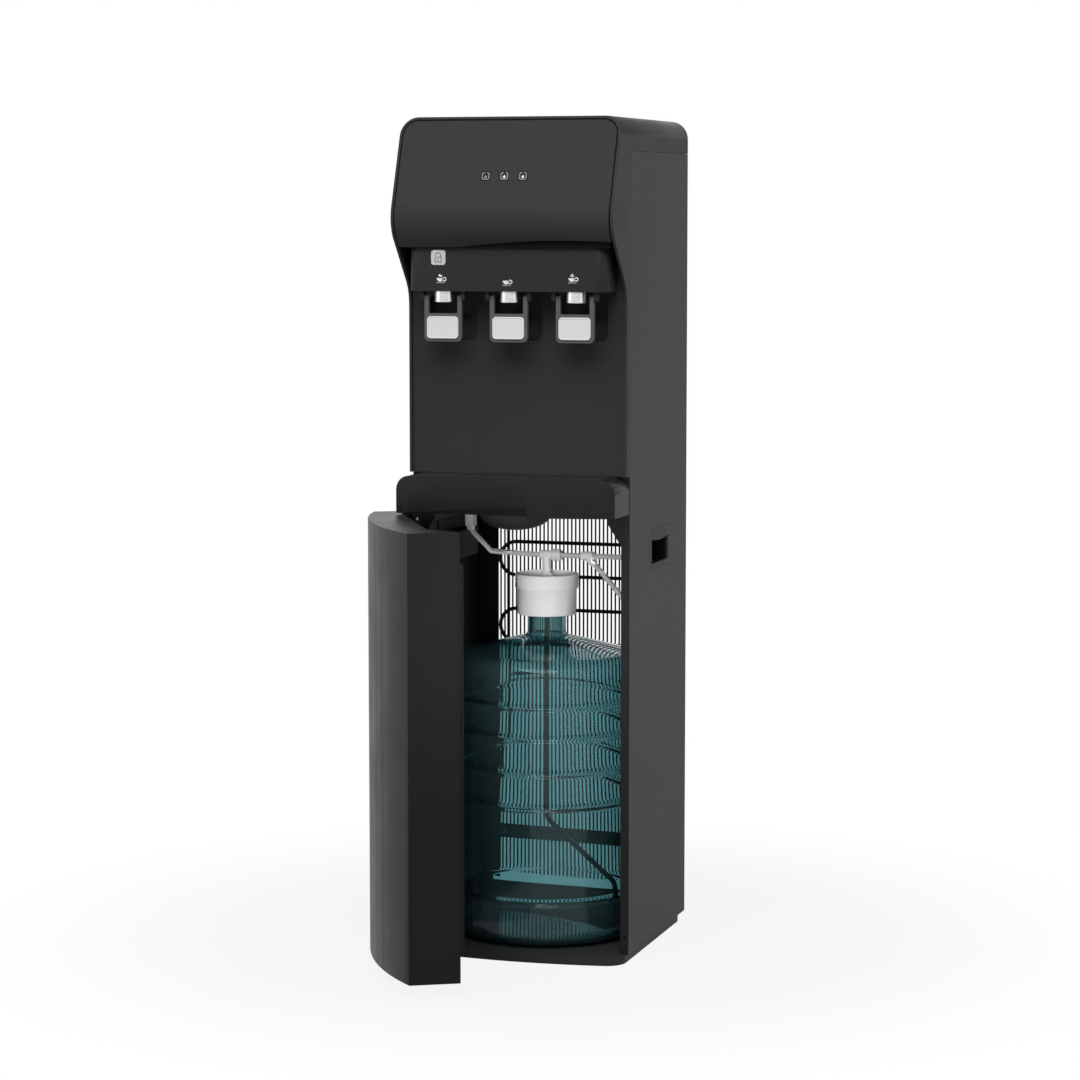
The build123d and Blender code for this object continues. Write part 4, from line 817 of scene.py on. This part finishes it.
wire = [(0, wires_low.z), (tip_radius, wires_low.z), (wire_radius, wires_low.z + tip_length)]
wire += [(wire_radius, wires_high.z - tip_length), (tip_radius, wires_high.z), (0, wires_high.z)]
work = bmesh.new()
for i in range(wire_count):
    x = (i - (wire_count - 1) / 2) * wire_pitch
    turn(work, wire, Matrix.Translation((x, wire_y, 0)), steps=10)
settle(work, "condenser_fence", "cabinet", "black_enamel", ["condenser_wires"])
pipe_low, pipe_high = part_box("refrigerant_pipe")
pipe_y = (pipe_low.y + pipe_high.y) / 2 / mm
pipe_top = 617.9
pipe_bend = 259
pipe_radius = 2.3
moves = [(0, 0, pipe_bend - pipe_top), ((-121, pipe_y, pipe_bend), (0, 1, 0), 90, 8), (-20, 0, 0)]
work = bmesh.new()
drawn_tube(work, (-107, pipe_y, pipe_top), (0, 0, -1), pipe_radius, moves)
settle(work, "suction_line", "cabinet", "black_enamel", ["refrigerant_pipe"])


# Screws: pan heads, each cross recess drawn as a thin black cross of painted shade on the head, all in shares
# of the head's radius
def pan_head(work, dark, radius, place):
    head = [(0, 0.62 * radius), (0.45 * radius, 0.58 * radius), (0.8 * radius, 0.42 * radius)]
    turn(work, head + [(radius, 0.15 * radius), (radius, 0)], place, 24)
    for turned in (0, 90):
        slot = place @ Matrix.Rotation(radians(turned), 4, "Z") @ Matrix.Translation((0, 0, 0.6 * radius))
        rounded_block(dark, 1.1 * radius, 0.26 * radius, 0.04 * radius, 0.1 * radius, 0, slot)


heads = bmesh.new()
recess_shades = bmesh.new()
brace_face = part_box("rear_brace")[0].y
brace_head = 3.6 * mm
for x in (-116, 0, 116):
    pan_head(heads, recess_shades, brace_head, stand((x * mm, brace_face, 110 * mm), to_front))
rear_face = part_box("rear_panel")[1].y
rear_head = 2.8 * mm
for x in (-143, 143):
    for z in (632, 760, 930, 1080):
        pan_head(heads, recess_shades, rear_head, stand((x * mm, rear_face, z * mm), to_back))
settle(heads, "screw_heads", "cabinet", "bright_steel")
settle(recess_shades, "screw_recess_shades", "cabinet", "rubber_black")


# Studio: a white surround is seen by the eye, by reflections and through clear parts, and the light itself
# comes from lamps
def background_rays(tree):
    paths = add(tree, "ShaderNodeLightPath")
    total = paths.outputs["Is Camera Ray"]
    for other in ("Is Glossy Ray", "Is Transmission Ray"):
        either = add(tree, "ShaderNodeMath", {0: total, 1: paths.outputs[other]}, operation="MAXIMUM")
        total = either.outputs["Value"]
    return total


white = (1, 1, 1, 1)
room_light = 0.22
world = bpy.data.worlds.new("studio")
bpy.context.scene.world = world
world.use_nodes = True
sky = world.node_tree.nodes["Background"]
sky.inputs["Color"].default_value = white
level = add(
    world.node_tree,
    "ShaderNodeMapRange",
    {"Value": background_rays(world.node_tree), "To Min": room_light},
)
world.node_tree.links.new(level.outputs["Result"], sky.inputs["Strength"])

# Pale paper floor: near the object it keeps a share of the shadow, farther off it runs out into the white
# surround
shadow_reach = 0.35
floor_reach = 0.9
white_share = 0.88
floor_half = 8.0
floor_drop = 0.5 * mm
floor_finish, floor_tree, floor_shader = begin("pale_paper", Roughness=0.9, Specular_IOR_Level=0.1)
floor_shader.inputs["Base Color"].default_value = linear("#c0c0c0")
spot = add(floor_tree, "ShaderNodeTexCoord").outputs["Object"]
reach = add(floor_tree, "ShaderNodeVectorMath", {0: spot}, operation="LENGTH").outputs["Value"]
fade = add(
    floor_tree,
    "ShaderNodeMapRange",
    {"Value": reach, "From Min": shadow_reach, "From Max": floor_reach, "To Min": white_share, "To Max": 1.0},
    interpolation_type="SMOOTHSTEP",
)
share = add(
    floor_tree,
    "ShaderNodeMath",
    {0: background_rays(floor_tree), 1: fade.outputs["Result"]},
    operation="MULTIPLY",
)
glow = add(floor_tree, "ShaderNodeEmission", {"Color": white, "Strength": 1.0})
blend = add(
    floor_tree,
    "ShaderNodeMixShader",
    {0: share.outputs["Value"], 1: floor_shader.outputs["BSDF"], 2: glow.outputs["Emission"]},
)
floor_tree.links.new(blend.outputs["Shader"], floor_tree.nodes["Material Output"].inputs["Surface"])
floor_mesh = bmesh.new()
bmesh.ops.create_grid(floor_mesh, x_segments=1, y_segments=1, size=floor_half)
bmesh.ops.translate(floor_mesh, vec=(0, 0, -floor_drop), verts=floor_mesh.verts)
floor_data = bpy.data.meshes.new("floor")
floor_mesh.to_mesh(floor_data)
floor_mesh.free()
floor_data.materials.append(floor_finish)
floor = bpy.data.objects.new("floor", floor_data)
bpy.context.scene.collection.objects.link(floor)


def softbox(name, place, target, width, height, power, spread=180):
    """A wide soft lamp, in metres and watts, that doesn't show through clear parts."""
    lamp = bpy.data.lights.new(name, "AREA")
    lamp.shape = "RECTANGLE"
    lamp.size = width
    lamp.size_y = height
    lamp.energy = power
    lamp.spread = radians(spread)
    made = bpy.data.objects.new(name, lamp)
    made.visible_transmission = False
    made.location = place
    made.rotation_euler = (Vector(target) - Vector(place)).to_track_quat("-Z", "Y").to_euler()
    bpy.context.scene.collection.objects.link(made)
    return made


softbox("high_box", (0.2, -2.4, 3.0), (0, -0.1, 0.8), 2.4, 1.6, 74)
softbox("right_box", (2.8, -0.6, 1.5), (0, 0, 0.6), 1.4, 2.2, 11)
softbox("left_box", (-2.6, -1.6, 1.4), (-0.1, -0.2, 0.5), 1.2, 2.2, 16)
bay_box = softbox("bay_box", (0.55, -2.2, 0.65), (0, -0.05, 0.5), 0.3, 0.3, 0.29, spread=14)
bay_box.visible_glossy = False
softbox("back_box", (-0.9, 2.8, 2.2), (0, 0.1, 0.7), 1.6, 1.6, 9)

# Camera at the photograph's place
lens = bpy.data.cameras.new("camera")
lens.lens = 106.74
lens.sensor_width = 36
lens.clip_end = 30
camera = bpy.data.objects.new("camera", lens)
camera.location = (1.3426, -4.2806, 1.0257)
camera.rotation_euler = (radians(90 - 5.926), 0, radians(17.641))
bpy.context.scene.collection.objects.link(camera)
bpy.context.scene.camera = camera

bpy.context.scene.view_settings.view_transform = "Standard"
